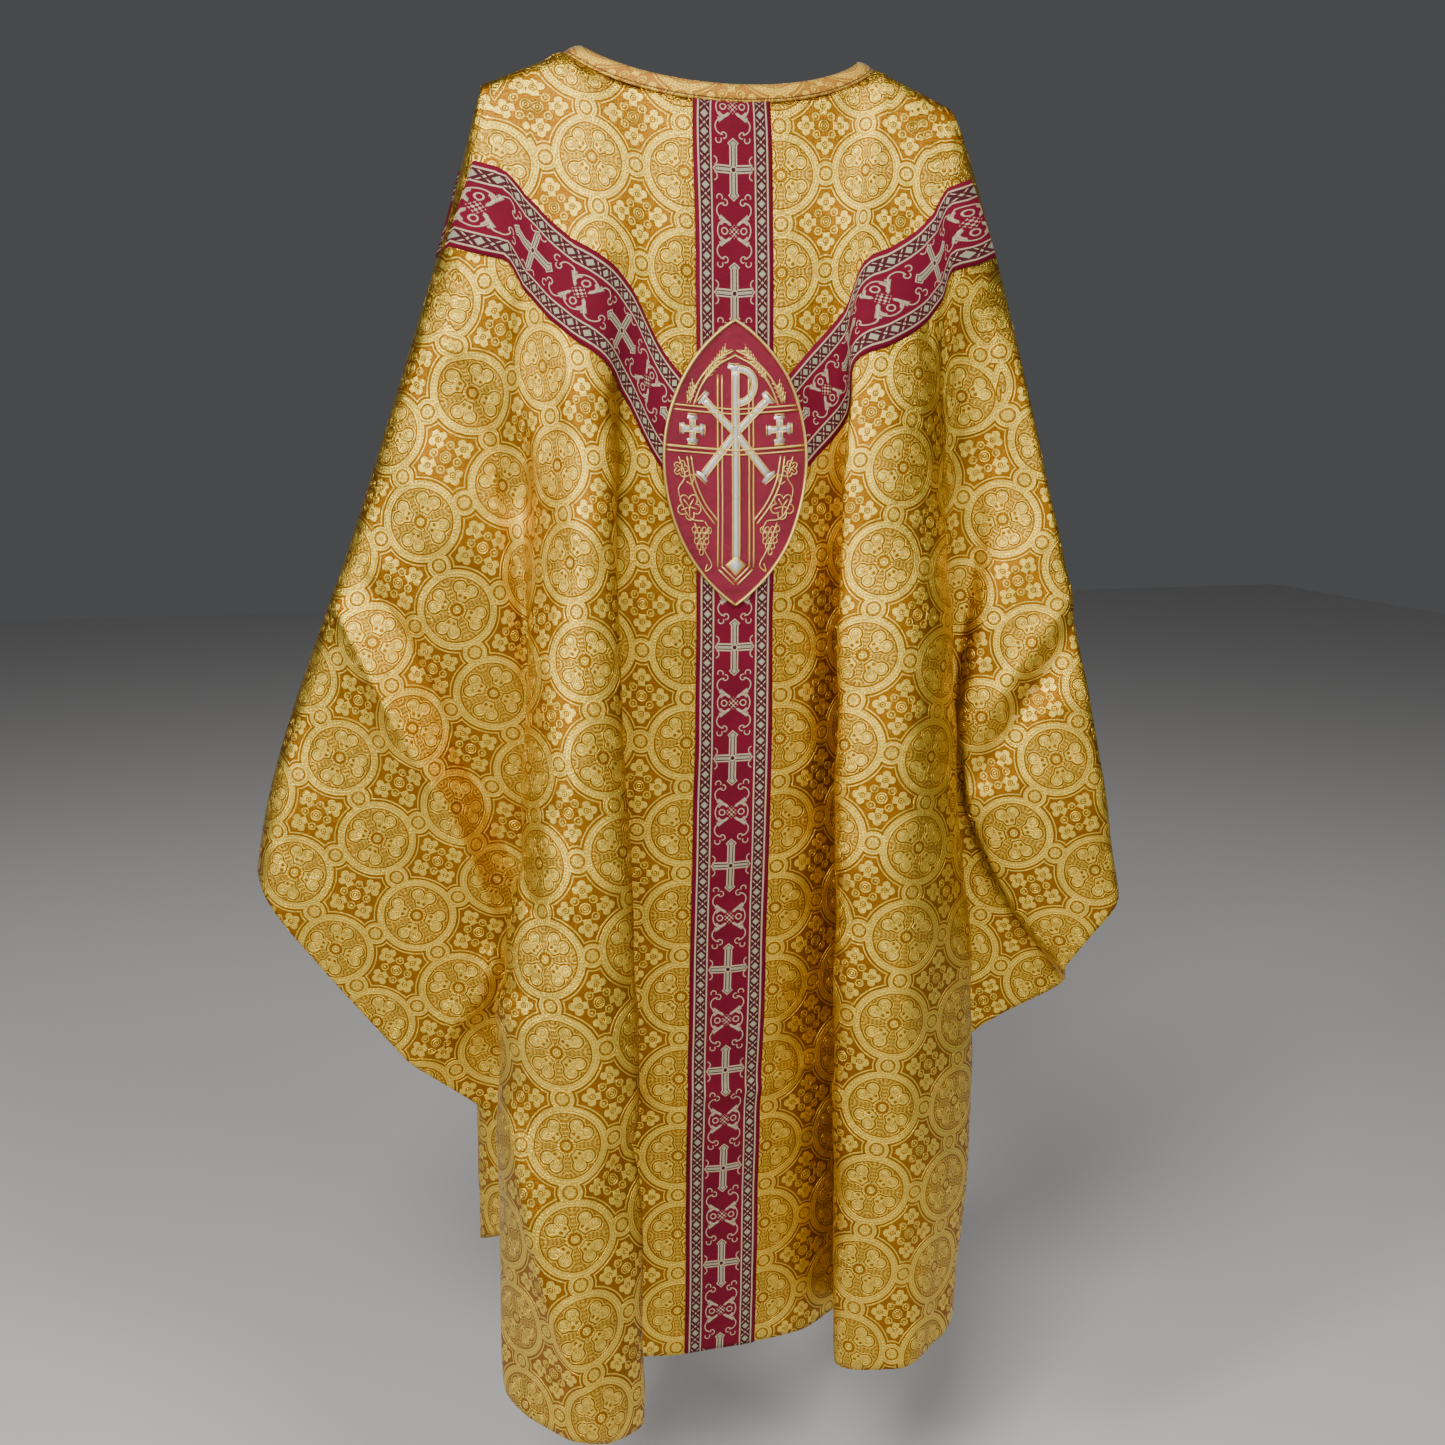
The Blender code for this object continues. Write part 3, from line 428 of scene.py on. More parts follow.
class Panel:
    """The back or the front of the garment at full fineness, flat and hung."""

    def __init__(self, front):
        self.front = front
        self.lookup(CLOTH_ACROSS, CLOTH_DOWN)

    def shape(self, across, down):
        """A grid of cloth, moved to the way it hangs, with its flat cut as the UV map."""
        bm = bmesh.new()
        bmesh.ops.create_grid(bm, x_segments=across, y_segments=down, size=1.0)
        bm.verts.layers.float_vector.new("flat")
        woven_layer = bm.verts.layers.float_vector.new("woven")
        flat_layer = bm.verts.layers.float_vector["flat"]
        places = panel_places(self.front, across)
        ends = [top_and_hem(place) for place in places]
        rows, spots = {}, {}
        for vert in bm.verts:
            column = round((vert.co.x + 1) / 2 * across)
            row = round((1 - vert.co.y) / 2 * down)
            share = row / down
            spots[vert] = (row, column)
            if row not in rows:
                rows[row] = spline([line.at(share) for line in LOOP], closed=True)
            top, hem, side = ends[column]
            spot = top_flat(self.front, top).lerp(hem_flat(hem), share)
            vert.co = rows[row](places[column])
            vert[flat_layer] = (spot.x * side, spot.y, 0.0)
        bmesh.ops.recalc_face_normals(bm, faces=list(bm.faces))
        self.face_out(bm, flat_layer)
        bm.normal_update()
        lifts = []
        for vert in bm.verts:
            u, v, _ = vert[flat_layer]
            lift = ripple(u + (3.0 if self.front else 0.0), v)
            if not self.front:
                lift += crease_height(vert.co.x, vert.co.z)
            lifts.append(vert.normal * lift * min(seam_distance(u, v) / 0.03, 1.0))
        for vert, lift in zip(bm.verts, lifts):
            vert.co += lift
        bm.normal_update()
        grid = {}
        for vert, spot in spots.items():
            grid.setdefault(spot[0], {})[spot[1]] = vert
        for vert, place in self.weave_places(grid, flat_layer).items():
            vert[woven_layer] = (*place, 0.0)
        uv, grain = bm.loops.layers.uv.new("flat_cut"), bm.loops.layers.uv.new("woven")
        for face in bm.faces:
            face.smooth = True
            for loop in face.loops:
                loop[uv].uv = loop.vert[flat_layer].xy
                loop[grain].uv = loop.vert[woven_layer].xy
        return bm

    def weave_places(self, grid, flat_layer):
        """Places in the weave, with the spacing that the cloth has where it hangs."""
        count = (len(grid), len(grid[0]))
        order = [grid[row][column] for row in range(count[0]) for column in range(count[1])]
        hung = np.array([vert.co for vert in order]).reshape(*count, 3)
        flat = np.array([vert[flat_layer] for vert in order]).reshape(*count, 3)[:, :, :2]
        woven = unstretched(hung, flat)
        return {vert: tuple(spot) for vert, spot in zip(order, woven.reshape(-1, 2))}

    def face_out(self, bm, flat_layer):
        """Turn the faces so that they point out of the garment."""
        face = min(bm.faces, key=lambda f: (f.verts[0][flat_layer].xy - Vector((0.0, -0.5))).length)
        away = 1 if self.front else -1
        if face.normal.y * away < 0:
            bmesh.ops.reverse_faces(bm, faces=list(bm.faces))

    def lookup(self, across, down):
        """Keep the fine cloth, to lay trimmings on it by their places in the weave."""
        self.fine = self.shape(across, down)
        self.fine.faces.ensure_lookup_table()
        self.fine.verts.index_update()
        self.layers = {by: self.fine.verts.layers.float_vector[by] for by in ("flat", "woven")}
        faces = [[vert.index for vert in face.verts] for face in self.fine.faces]
        self.trees = {by: BVHTree.FromPolygons([Vector(vert[layer]) for vert in self.fine.verts], faces)
                      for by, layer in self.layers.items()}

    def flat_area(self):
        """Area of the panel as it was cut."""
        bm = self.fine.copy()
        for vert in bm.verts:
            vert.co = Vector(vert[bm.verts.layers.float_vector["flat"]])
        area = area_of(bm)
        bm.free()
        return area

    def in_weave(self, spot):
        """The place in the weave of a point of the flat cut."""
        cut, woven = self.layers["flat"], self.layers["woven"]
        near = min(self.fine.verts, key=lambda vert: (vert[cut].xy - spot).length_squared)
        return near[woven].xy + spot - near[cut].xy

    def hang(self, u, v, height, by="woven"):
        """A flat point, by its place in the weave or in the cut, hung at a height off the cloth."""
        layer = self.layers[by]
        near, _, number, _ = self.trees[by].find_nearest(Vector((u, v, 0.0)))
        verts = list(self.fine.faces[number].verts)
        a, b, c = (Vector(vert[layer]) for vert in verts[:3])
        triangle = verts[:3]
        if (c - a).cross(near - a).z * (c - a).cross(b - a).z < 0:
            triangle = [verts[0], verts[2], verts[3]]
        corners = [Vector(vert[layer]) for vert in triangle]
        base = barycentric_transform(near, *corners, *[vert.co for vert in triangle])
        out = barycentric_transform(near, *corners, *[vert.normal for vert in triangle])
        return base + out.normalized() * height


def seam_distance(u, v):
    """How far a point of the flat cut is from the shoulder seam."""
    return max(below_seam(u, v), 0.0)


# ---- making pieces ---------------------------------------------------------------
def finish_piece(bm, name, material, stands_for=(), thick=0.0, offset=0.0):
    """Make an object of a mesh, give it thickness and let it ride on the garment's body."""
    mesh = bpy.data.meshes.new(name)
    bm.to_mesh(mesh)
    bm.free()
    mesh.materials.append(material)
    piece = bpy.data.objects.new(name, mesh)
    bpy.context.scene.collection.objects.link(piece)
    if thick:
        wall = piece.modifiers.new("thickness", "SOLIDIFY")
        wall.thickness, wall.offset = thick, offset
    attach(piece, "root")
    if stands_for:
        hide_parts(*stands_for)
    return piece


# ---- woven looks -----------------------------------------------------------------
class Field:
    """A value that changes over the cloth, written with ordinary operators."""

    def __init__(self, loom, socket):
        self.loom, self.socket = loom, socket

    def sum(self, operation, *others, clamp=False):
        return self.loom.maths(operation, self, *others, clamp=clamp)

    def __add__(self, other):
        return self.sum("ADD", other)

    def __radd__(self, other):
        return self.sum("ADD", other)

    def __sub__(self, other):
        return self.sum("SUBTRACT", other)

    def __rsub__(self, other):
        return self.loom.maths("SUBTRACT", other, self)

    def __mul__(self, other):
        return self.sum("MULTIPLY", other)

    def __rmul__(self, other):
        return self.sum("MULTIPLY", other)

    def __truediv__(self, other):
        return self.sum("DIVIDE", other)

    def __neg__(self):
        return self.sum("MULTIPLY", -1.0)

    def __abs__(self):
        return self.sum("ABSOLUTE")


class Loom:
    """A material being made: its nodes are added by one method."""

    def __init__(self, name, roughness=0.5, metallic=0.0, sheen=0.0, specular=0.5):
        self.material = bpy.data.materials.new(name)
        self.material.use_nodes = True
        self.tree = self.material.node_tree
        self.shader = self.tree.nodes["Principled BSDF"]
        self.shader.inputs["Roughness"].default_value = roughness
        self.shader.inputs["Metallic"].default_value = metallic
        self.shader.inputs["Specular IOR Level"].default_value = specular
        self.shader.inputs["Sheen Weight"].default_value = sheen
        self.shader.inputs["Sheen Roughness"].default_value = 0.5

    def node(self, kind, settings=None, inputs=None):
        """Add a node: its settings first, then the values or links of its sockets."""
        node = self.tree.nodes.new(kind)
        for key, value in (settings or {}).items():
            setattr(node, key, value)
        for key, value in (inputs or {}).items():
            self.feed(node.inputs[key], value)
        return node

    def feed(self, socket, value):
        """Link a field to a socket, or set the socket to a value."""
        if isinstance(value, Field):
            self.tree.links.new(value.socket, socket)
        elif isinstance(value, tuple) and len(value) == 3 and socket.type == "RGBA":
            socket.default_value = (*value, 1.0)
        else:
            socket.default_value = value

    def maths(self, operation, *values, clamp=False):
        """Result of one sum over fields and numbers."""
        settings = {"operation": operation, "use_clamp": clamp}
        node = self.node("ShaderNodeMath", settings, dict(enumerate(values)))
        return Field(self, node.outputs[0])

    def least(self, first, *others):
        for other in others:
            first = first.sum("MINIMUM", other)
        return first

    def most(self, first, *others):
        for other in others:
            first = first.sum("MAXIMUM", other)
        return first

    def repeat(self, value, pitch=1.0):
        """Distance from the nearest multiple of the pitch, signed."""
        return value.sum("WRAP", pitch / 2, -pitch / 2)

    def length(self, x, y):
        return (x * x + y * y).sum("SQRT")

    def within(self, distance, soft=0.004):
        """1 inside a shape whose distance is below 0, with a soft edge."""
        return (0.5 - distance / soft).sum("ADD", 0.0, clamp=True)

    def line(self, distance, width, soft=0.004):
        """1 on the edge of a shape, as wide as asked."""
        return self.within(abs(distance) - width / 2, soft)

    def paint(self, share, under, over):
        """Colour over another by a share."""
        settings = {"data_type": "RGBA", "blend_type": "MIX"}
        node = self.node("ShaderNodeMix", settings, {0: share, 6: under, 7: over})
        return Field(self, node.outputs[2])

    def shade(self, colour, share):
        """Colour times a value."""
        settings = {"data_type": "RGBA", "blend_type": "MULTIPLY"}
        grey = self.node("ShaderNodeCombineColor", None, {0: share, 1: share, 2: share})
        grey = Field(self, grey.outputs[0])
        node = self.node("ShaderNodeMix", settings, {0: 1.0, 6: colour, 7: grey})
        return Field(self, node.outputs[2])

    def flat_cut(self, uv_map):
        """The two coordinates of a UV map, in metres."""
        node = self.node("ShaderNodeUVMap", {"uv_map": uv_map})
        split = self.node("ShaderNodeSeparateXYZ", None, {0: Field(self, node.outputs[0])})
        self.vector = Field(self, node.outputs[0])
        return Field(self, split.outputs[0]), Field(self, split.outputs[1])

    def speckle(self, scale, detail=2.0, rough=0.5):
        """Cloudy noise in the UV map's metres, from 0 to 1."""
        inputs = {"Vector": self.vector, "Scale": scale, "Detail": detail, "Roughness": rough}
        node = self.node("ShaderNodeTexNoise", {"noise_dimensions": "2D"}, inputs)
        return Field(self, node.outputs[0])

    def rises(self, height, distance):
        """Let a height in metres catch the light as relief."""
        node = self.node("ShaderNodeBump", None, {"Height": height, "Distance": distance})
        self.tree.links.new(node.outputs[0], self.shader.inputs["Normal"])

    def set(self, name, value):
        self.feed(self.shader.inputs[name], value)


def weave_of(u, v, pitch):
    """Fine threads, over and under, as a height from 0 to 1."""
    a = (u * (2 * math.pi / pitch)).sum("SINE")
    b = (v * (2 * math.pi / pitch)).sum("SINE")
    return (a * b) * 0.5 + 0.5


BROCADE_ACROSS = 0.0905       # repeat of the brocade's figure
BROCADE_DOWN = 0.0840
BROCADE_RISE = 0.30           # share of a repeat that sets the figure's place down the back
THREAD_PITCH = 0.0024         # spacing of the brocade's threads on the slant
STITCH_PITCH = 0.0030         # length of one sewn stitch with its gap
SEAM_STITCH = 0.0035          # stitched row, below the shoulder seam
BINDING_STITCH = 0.0022       # stitched row, in from the binding's lower edge


def medallion(loom, x, y):
    """Four paired petals in a round of the brocade: pale share, from its middle."""
    half = math.sqrt(0.5)
    dx, dy = abs((x + y) * half), abs((x - y) * half)
    along, aside = loom.most(dx, dy), loom.least(dx, dy)
    lobe = loom.length(along - 0.236, aside - 0.064) - 0.070
    stalk = loom.most(aside - along * 0.46, along - 0.23, 0.100 - along)
    heart = loom.least(lobe, stalk)
    pale = loom.within(heart + 0.004)
    stamens = ((aside - along * 0.25) * 300.0).sum("SINE") * 0.5 + 0.5
    stamens = stamens * loom.within(loom.length(along - 0.205, aside - 0.046) - 0.040)
    pale = pale * (1 - 0.45 * stamens)
    pale = pale * (1 - 0.7 * loom.within(aside - 0.006) * loom.within(0.20 - along))
    pale = pale * (1 - 0.95 * loom.within(loom.length(along - 0.150, aside - 0.030) - 0.018))
    tear = loom.line(loom.length(along - 0.246, aside - 0.066) - 0.040, 0.008)
    pale = pale * (1 - 0.5 * tear)
    outline = loom.line(heart - 0.017, 0.012)
    r = loom.length(x, y)
    turn = y.sum("ARCTAN2", x)
    dots = (turn * 16.0).sum("SINE") * 0.5 + 0.5
    hub = loom.most(loom.within(r - 0.044), loom.within(abs(r - 0.084) - 0.012) * (1 - 0.9 * dots))
    hub = hub * (1 - 0.6 * loom.line(r - 0.024, 0.007))
    far, near = loom.most(abs(x), abs(y)), loom.least(abs(x), abs(y))
    scroll = (loom.length(far - 0.335, near) * 150.0).sum("SINE") * 0.5 + 0.5
    wisps = ((near * 190.0).sum("SINE") * 0.5 + 0.5) * 0.4
    fan = loom.most(scroll * 0.75, wisps, loom.within(loom.length(far - 0.292, near) - 0.014))
    fan = fan * loom.within(0.026 - heart) * loom.within(0.110 - r)
    return loom.most(pale, outline, hub, fan * 0.8)


def floret(loom, x, y):
    """Scalloped cross in the space between four rounds: pale share, from its middle."""
    ax, ay = abs(x), abs(y)
    along, aside = loom.most(ax, ay), loom.least(ax, ay)
    tip = loom.length(along - 0.258, aside) - 0.046
    ears = loom.length(along - 0.208, aside - 0.060) - 0.042
    stem = loom.most(aside - 0.040, along - 0.24, 0.115 - along)
    leaf = loom.least(tip, ears, stem)
    pale = loom.within(leaf)
    eye = loom.length(along - 0.196, aside)
    pale = pale * (1 - 0.85 * loom.line(eye - 0.026, 0.011)) * (1 - 0.9 * loom.within(eye - 0.009))
    pale = pale * (1 - 0.7 * loom.line(along - 0.240, 0.008) * loom.within(aside - 0.022))
    corner = loom.length(along - 0.092, aside - 0.092)
    curls = loom.most(loom.line(corner - 0.038, 0.013), loom.within(corner - 0.014))
    knob = loom.length(x, y)
    rings = (knob * 260.0).sum("SINE") * 0.5 + 0.5
    middle = loom.most(rings * loom.within(knob - 0.066), loom.line(along - 0.115, 0.010) * 0.8)
    return loom.most(pale, curls, middle)


def brocade_figure(loom, u, v):
    """The whole woven figure: pale share over the plain ground."""
    x, y = u / BROCADE_ACROSS + 0.5, v / BROCADE_DOWN + BROCADE_RISE
    mx, my = loom.repeat(x), loom.repeat(y)
    bx, by = loom.repeat(x + 0.5), loom.repeat(y + 0.5)
    r = loom.length(mx, my)
    small_r = loom.least(loom.length(bx, my), loom.length(mx, by))
    disc = r - 0.352
    chain = loom.least(r - 0.430, small_r - 0.128)
    in_band = loom.within(loom.most(chain, -disc))
    turn = my.sum("ARCTAN2", mx)
    beads = (turn * 68.0).sum("SINE") * 0.5 + 0.5
    rows = loom.least(abs(r - 0.375), abs(r - 0.410)) - 0.007
    beads = beads * loom.within(rows) * loom.within(0.100 - small_r)
    little = turn_of(loom, mx, my, bx, by)
    ring_beads = ((little * 24.0).sum("SINE") * 0.5 + 0.5) * loom.within(abs(small_r - 0.106) - 0.008)
    ring = loom.line(small_r - 0.074, 0.011)
    petals = small_r - 0.050 - 0.012 * abs((little * 4.0).sum("SINE"))
    band_pale = in_band * (1 - 0.55 * loom.most(beads, ring_beads)) * (1 - ring)
    hollow = loom.within(small_r - 0.070) * (1 - loom.within(petals) * 0.9)
    band_pale = band_pale * (1 - 0.8 * hollow) * (1 - 0.5 * loom.line(small_r - 0.020, 0.008))
    rim = loom.line(chain - 0.030, 0.016)
    inside = loom.within(disc + 0.012)
    space = loom.within(0.048 - chain)
    return loom.most(band_pale, rim, inside * medallion(loom, mx, my), space * floret(loom, bx, by))


def turn_of(loom, mx, my, bx, by):
    """Angle round the nearest small rosette."""
    across = loom.length(bx, my) - loom.length(mx, by)
    pick = loom.within(across, 0.001)
    x = bx * pick + mx * (1 - pick)
    y = my * pick + by * (1 - pick)
    return y.sum("ARCTAN2", x)


def below_seam(u, v):
    """Distance from the shoulder seam over the flat cut, of a point or of a whole field."""
    across = (abs(u) - neck_half()) * math.sin(SEAM_SLOPE)
    return -(across + v * math.cos(SEAM_SLOPE))


def make_brocade():
    """Gold brocade: the pale figure over a deeper ground, with the stitched seam row."""
    loom = Loom("gold brocade", metallic=0.6)
    flat_u, flat_v = loom.flat_cut("flat_cut")
    u, v = loom.flat_cut("woven")
    pale = brocade_figure(loom, u, v)
    clouds = loom.speckle(9.0, 3.0)
    grain = loom.speckle(900.0, 1.0)
    threads = weave_of(u + v, u - v, THREAD_PITCH)
    ground = loom.paint(clouds, (0.26, 0.098, 0.002), (0.42, 0.172, 0.004))
    figure = loom.paint(grain, (0.92, 0.570, 0.040), (1.00, 0.780, 0.130))
    colour = loom.paint(pale * 0.92, ground, figure)
    colour = loom.shade(colour, 0.86 + 0.20 * threads)
    seam_row = below_seam(flat_u, flat_v) - SEAM_STITCH
    stitch = stitches(loom, seam_row, u - v, STITCH_PITCH, 0.0008)
    colour = loom.paint(stitch * 0.8, colour, (0.16, 0.070, 0.010))
    loom.set("Base Color", colour)
    loom.set("Roughness", 0.29 - 0.05 * pale + 0.12 * grain)
    loom.set("Metallic", 0.90 + 0.08 * pale)
    loom.rises(pale * 0.7 + threads * 0.25 + grain * 0.35, 0.0007)
    return loom.material


def stitches(loom, across, along, pitch, width):
    """A dashed row of thread along the line where across is 0."""
    dash = abs(loom.repeat(along, pitch)) - pitch * 0.32
    return loom.within(abs(across) - width / 2, 0.0005) * loom.within(dash, 0.0006)


def make_lining():
    """Plain gold satin with a fine twill."""
    loom = Loom("gold satin lining", metallic=0.25, sheen=0.2)
    u, v = loom.flat_cut("flat_cut")
    grain = loom.speckle(700.0, 1.0)
    clouds = loom.speckle(7.0, 2.0)
    twill = ((u + v * 0.5) * (2 * math.pi / 0.0016)).sum("SINE") * 0.5 + 0.5
    colour = loom.paint(clouds, (0.50, 0.250, 0.030), (0.66, 0.370, 0.060))
    loom.set("Base Color", loom.shade(colour, 0.88 + 0.16 * twill))
    loom.set("Roughness", 0.34 + 0.12 * grain)
    loom.rises(twill * 0.4 + grain * 0.4, 0.0002)
    return loom.material


# ---- the woven band --------------------------------------------------------------
GALLOON_REPEAT = 0.105
CREAM = (0.56, 0.45, 0.30)
SILVER_GREEN = (0.36, 0.35, 0.24)
DARK = (0.055, 0.008, 0.014)
WOVEN_EDGE = 0.0005           # softness of the edge between two woven colours


def side_columns(loom, t, s):
    """The columns of lozenges at both edges: dark share, cream share, silver share."""
    pitch = GALLOON_REPEAT / 7
    across = (t - 0.1435) * GALLOON_WIDTH
    along = loom.repeat(s, pitch)
    half = loom.repeat(s + pitch / 2, pitch)
    dark = loom.within(abs(across) - 0.0049, WOVEN_EDGE)
    lozenge = abs(across) + abs(along) - 0.0036
    dot = abs(across) + abs(half) - 0.0013
    slant = abs(abs(across) - abs(half)) - 0.0006
    dash = loom.most(slant, abs(across) - 0.0040, 0.0018 - abs(across))
    cream = loom.most(loom.within(dot, WOVEN_EDGE), loom.within(dash, WOVEN_EDGE))
    return dark, cream, loom.within(lozenge, WOVEN_EDGE)


def woven_cross(loom, x, y):
    """Cross in the band's middle: cream share, dark share, silver share. x across, y along."""
    ax, ay = abs(x), abs(y)
    flare = loom.most(ax - 0.0012 - 0.9 * (ay - 0.0175), 0.0185 - ay, ax * 0.9 + ay - 0.0268)
    upright = loom.least(loom.most(ax - 0.0036, ay - 0.0240), flare)
    level = loom.most(ay - 0.0036, ax + ay * 0.9 - 0.0195)
    outer = loom.least(upright, level)
    inner = outer + 0.0013
    fill = outer + 0.0024
    middle = loom.length(x, y)
    hook = loom.length(ax - 0.0188, ay - 0.0065) - 0.0036
    hooks = loom.line(hook, 0.0009, 0.0006) * loom.within(ax - 0.0180, 0.0006)
    hooks = hooks * loom.within(0.0030 - ay)
    cream = loom.most(loom.within(outer, WOVEN_EDGE), hooks)
    ring = loom.line(middle - 0.0026, 0.0011, WOVEN_EDGE)
    dark = loom.within(inner, WOVEN_EDGE) * (1 - loom.within(fill, WOVEN_EDGE))
    silver = loom.within(fill, WOVEN_EDGE) * (1 - loom.within(middle - 0.0032, WOVEN_EDGE))
    dark = loom.most(dark * (1 - ring), loom.within(middle - 0.0020, WOVEN_EDGE))
    return loom.most(cream, ring), dark, silver


def woven_knot(loom, x, y):
    """Knot of leaves and scrolls between two crosses: cream share, silver share."""
    ax, ay = abs(x), abs(y)
    lattice = abs(loom.repeat(x + y, 0.0042)) + abs(loom.repeat(x - y, 0.0042))
    lattice = loom.within(0.0023 - lattice, WOVEN_EDGE) * loom.within(ax + ay - 0.0060, WOVEN_EDGE)
    slope = ay * 0.80 - ax * 0.62
    run = ay * 0.62 + ax * 0.80
    leaf = loom.most(abs(slope - 0.0020) - 0.0012, 0.0068 - run, run - 0.0185)
    tip = loom.most(abs(slope - 0.0010) - 0.0021, 0.0158 - run, run - 0.0180)
    under = loom.length(ax - 0.0080, ay - 0.0030) - 0.0050
    under = loom.most(abs(under) - 0.0009, 0.0050 - ay)
    silver = loom.within(loom.least(leaf, tip), WOVEN_EDGE)
    eye = loom.line(loom.length(ax - 0.0092, y) - 0.0027, 0.0010, WOVEN_EDGE)
    waist = loom.line(loom.length(ax - 0.0045, y) - 0.0112, 0.0010, WOVEN_EDGE)
    waist = waist * loom.within(ay - 0.0096, WOVEN_EDGE) * loom.within(0.0050 - ax, WOVEN_EDGE)
    arch = loom.line(loom.length(ax - 0.0097, ay - 0.0170) - 0.0066, 0.0010, WOVEN_EDGE)
    arch = arch * loom.within(0.0095 - ax, WOVEN_EDGE)
    curl = loom.line(loom.length(ax - 0.0086, ay - 0.0243) - 0.0026, 0.0009, WOVEN_EDGE)
    curl = curl * loom.within(ax + ay * 0.4 - 0.0200, WOVEN_EDGE)
    crook = loom.line(loom.length(ax - 0.0134, ay - 0.0282) - 0.0026, 0.0009, WOVEN_EDGE)
    crook = crook * loom.within(0.0268 - ay, WOVEN_EDGE)
    cream = loom.most(lattice, eye, waist, arch, curl, crook, loom.within(under, WOVEN_EDGE) * 0.8)
    return cream, silver


def make_galloon():
    """Maroon band with crosses and knots in turn, between two edge columns."""
    loom = Loom("woven galloon", specular=0.2)
    s, t = loom.flat_cut("band")
    share = t / GALLOON_WIDTH
    mirrored = 0.5 - abs(share)
    dark, dashes, lozenges = side_columns(loom, mirrored, s)
    rails = loom.most(loom.within(abs(mirrored - 0.064) - 0.0105, 0.006),
                      loom.within(abs(mirrored - 0.220) - 0.0095, 0.006))
    cross_at = loom.repeat(s, GALLOON_REPEAT)
    knot_at = loom.repeat(s + GALLOON_REPEAT / 2, GALLOON_REPEAT)
    cream_a, dark_a, silver_a = woven_cross(loom, t, cross_at)
    cream_b, silver_b = woven_knot(loom, t, knot_at)
    ribs = (s * (2 * math.pi / 0.0011)).sum("SINE") * 0.5 + 0.5
    grain = loom.speckle(1100.0, 1.0)
    wear = loom.speckle(25.0, 3.0)
    colour = loom.paint(wear, (0.120, 0.000, 0.013), (0.190, 0.001, 0.021))
    colour = loom.paint(dark * 0.85, colour, DARK)
    colour = loom.paint(loom.most(lozenges, silver_b * 0.9), colour, SILVER_GREEN)
    colour = loom.paint(loom.most(cream_a, cream_b, dashes, rails), colour, CREAM)
    colour = loom.paint(dark_a, colour, DARK)
    colour = loom.paint(silver_a, colour, SILVER_GREEN)
    raised = loom.most(lozenges, silver_b, cream_a, cream_b, loom.most(dashes, rails), silver_a)
    loom.set("Base Color", loom.shade(colour, 0.80 + 0.28 * ribs * (0.6 + 0.8 * grain)))
    loom.set("Roughness", 0.72 - 0.25 * raised + 0.1 * grain)
    loom.set("Metallic", 0.25 * raised)
    loom.rises(ribs * 0.35 + raised * 0.6 + grain * 0.4, 0.0005)
    return loom.material


# ---- the garment -----------------------------------------------------------------
def make_cloth(panel, side, brocade, lining):
    """The brocade of a panel and the satin sewn inside it."""
    cloth = finish_piece(panel.fine.copy(), side + "_brocade", brocade,
                         (side + "_panel",), CLOTH_THICK, -1.0)
    inner = panel.shape(LINING_ACROSS, LINING_DOWN)
    for vert in inner.verts:
        vert[inner.verts.layers.float_vector["flat"]] = vert.normal
    for vert in inner.verts:
        vert.co -= Vector(vert[inner.verts.layers.float_vector["flat"]]) * LINING_INSIDE
    satin = finish_piece(inner, side + "_satin", lining,
                         (side + "_lining",), CLOTH_THICK / 2, 0.0)
    flat = (2 * seam_flat(SEAM_LENGTH).x, HEM_DROP)
    for piece in (cloth, satin):
        panel.flat_area()


def band(panel, name, start, run, length, cuts, stands_for, material, first_cross, by="woven"):
    """A length of galloon laid on the cloth from a point of the flat cut along a direction."""
    across_dir = Vector((-run.y, run.x))
    bm = bmesh.new()
    pieces = max(int(length / 0.006), 8)
    bmesh.ops.create_grid(bm, x_segments=pieces, y_segments=12, size=0.5)
    for vert in bm.verts:
        spot = start + run * (vert.co.x + 0.5) * length + across_dir * vert.co.y * GALLOON_WIDTH
        vert.co = (spot.x, spot.y, 0.0)
    for point, away in cuts:
        everything = list(bm.verts) + list(bm.edges) + list(bm.faces)
        bmesh.ops.bisect_plane(bm, geom=everything, dist=0.00005, clear_outer=True,
                               plane_co=(point.x, point.y, 0.0), plane_no=(away.x, away.y, 0.0))
    uv = bm.loops.layers.uv.new("band")
    for face in bm.faces:
        face.smooth = True
        for loop in face.loops:
            rest = loop.vert.co.xy - start
            loop[uv].uv = (rest.dot(run) - first_cross, rest.dot(across_dir))
    area = area_of(bm)
    lay(bm, panel, BROCADE_TOP, by)
    piece = finish_piece(bm, name, material, stands_for, GALLOON, 1.0)


BROCADE_TOP = 0.0004          # galloon's underside above the brocade's outer face
PAST_EDGE = 0.0002            # how far off the cloth a point may be and still lie on it


def area_of(bm):
    """Area of a mesh that still lies flat."""
    return sum(face.calc_area() for face in bm.faces)


def lay(bm, panel, height, by):
    """Hang a flat mesh on the cloth, and drop what lies past the cloth's edge."""
    past = {vert for vert in bm.verts if panel.trees[by].find_nearest(vert.co)[3] > PAST_EDGE}
    spare = [face for face in bm.faces if all(vert in past for vert in face.verts)]
    bmesh.ops.delete(bm, geom=spare, context="FACES")
    for vert in bm.verts:
        vert.co = panel.hang(vert.co.x, vert.co.y, height, by)
    bm.normal_update()


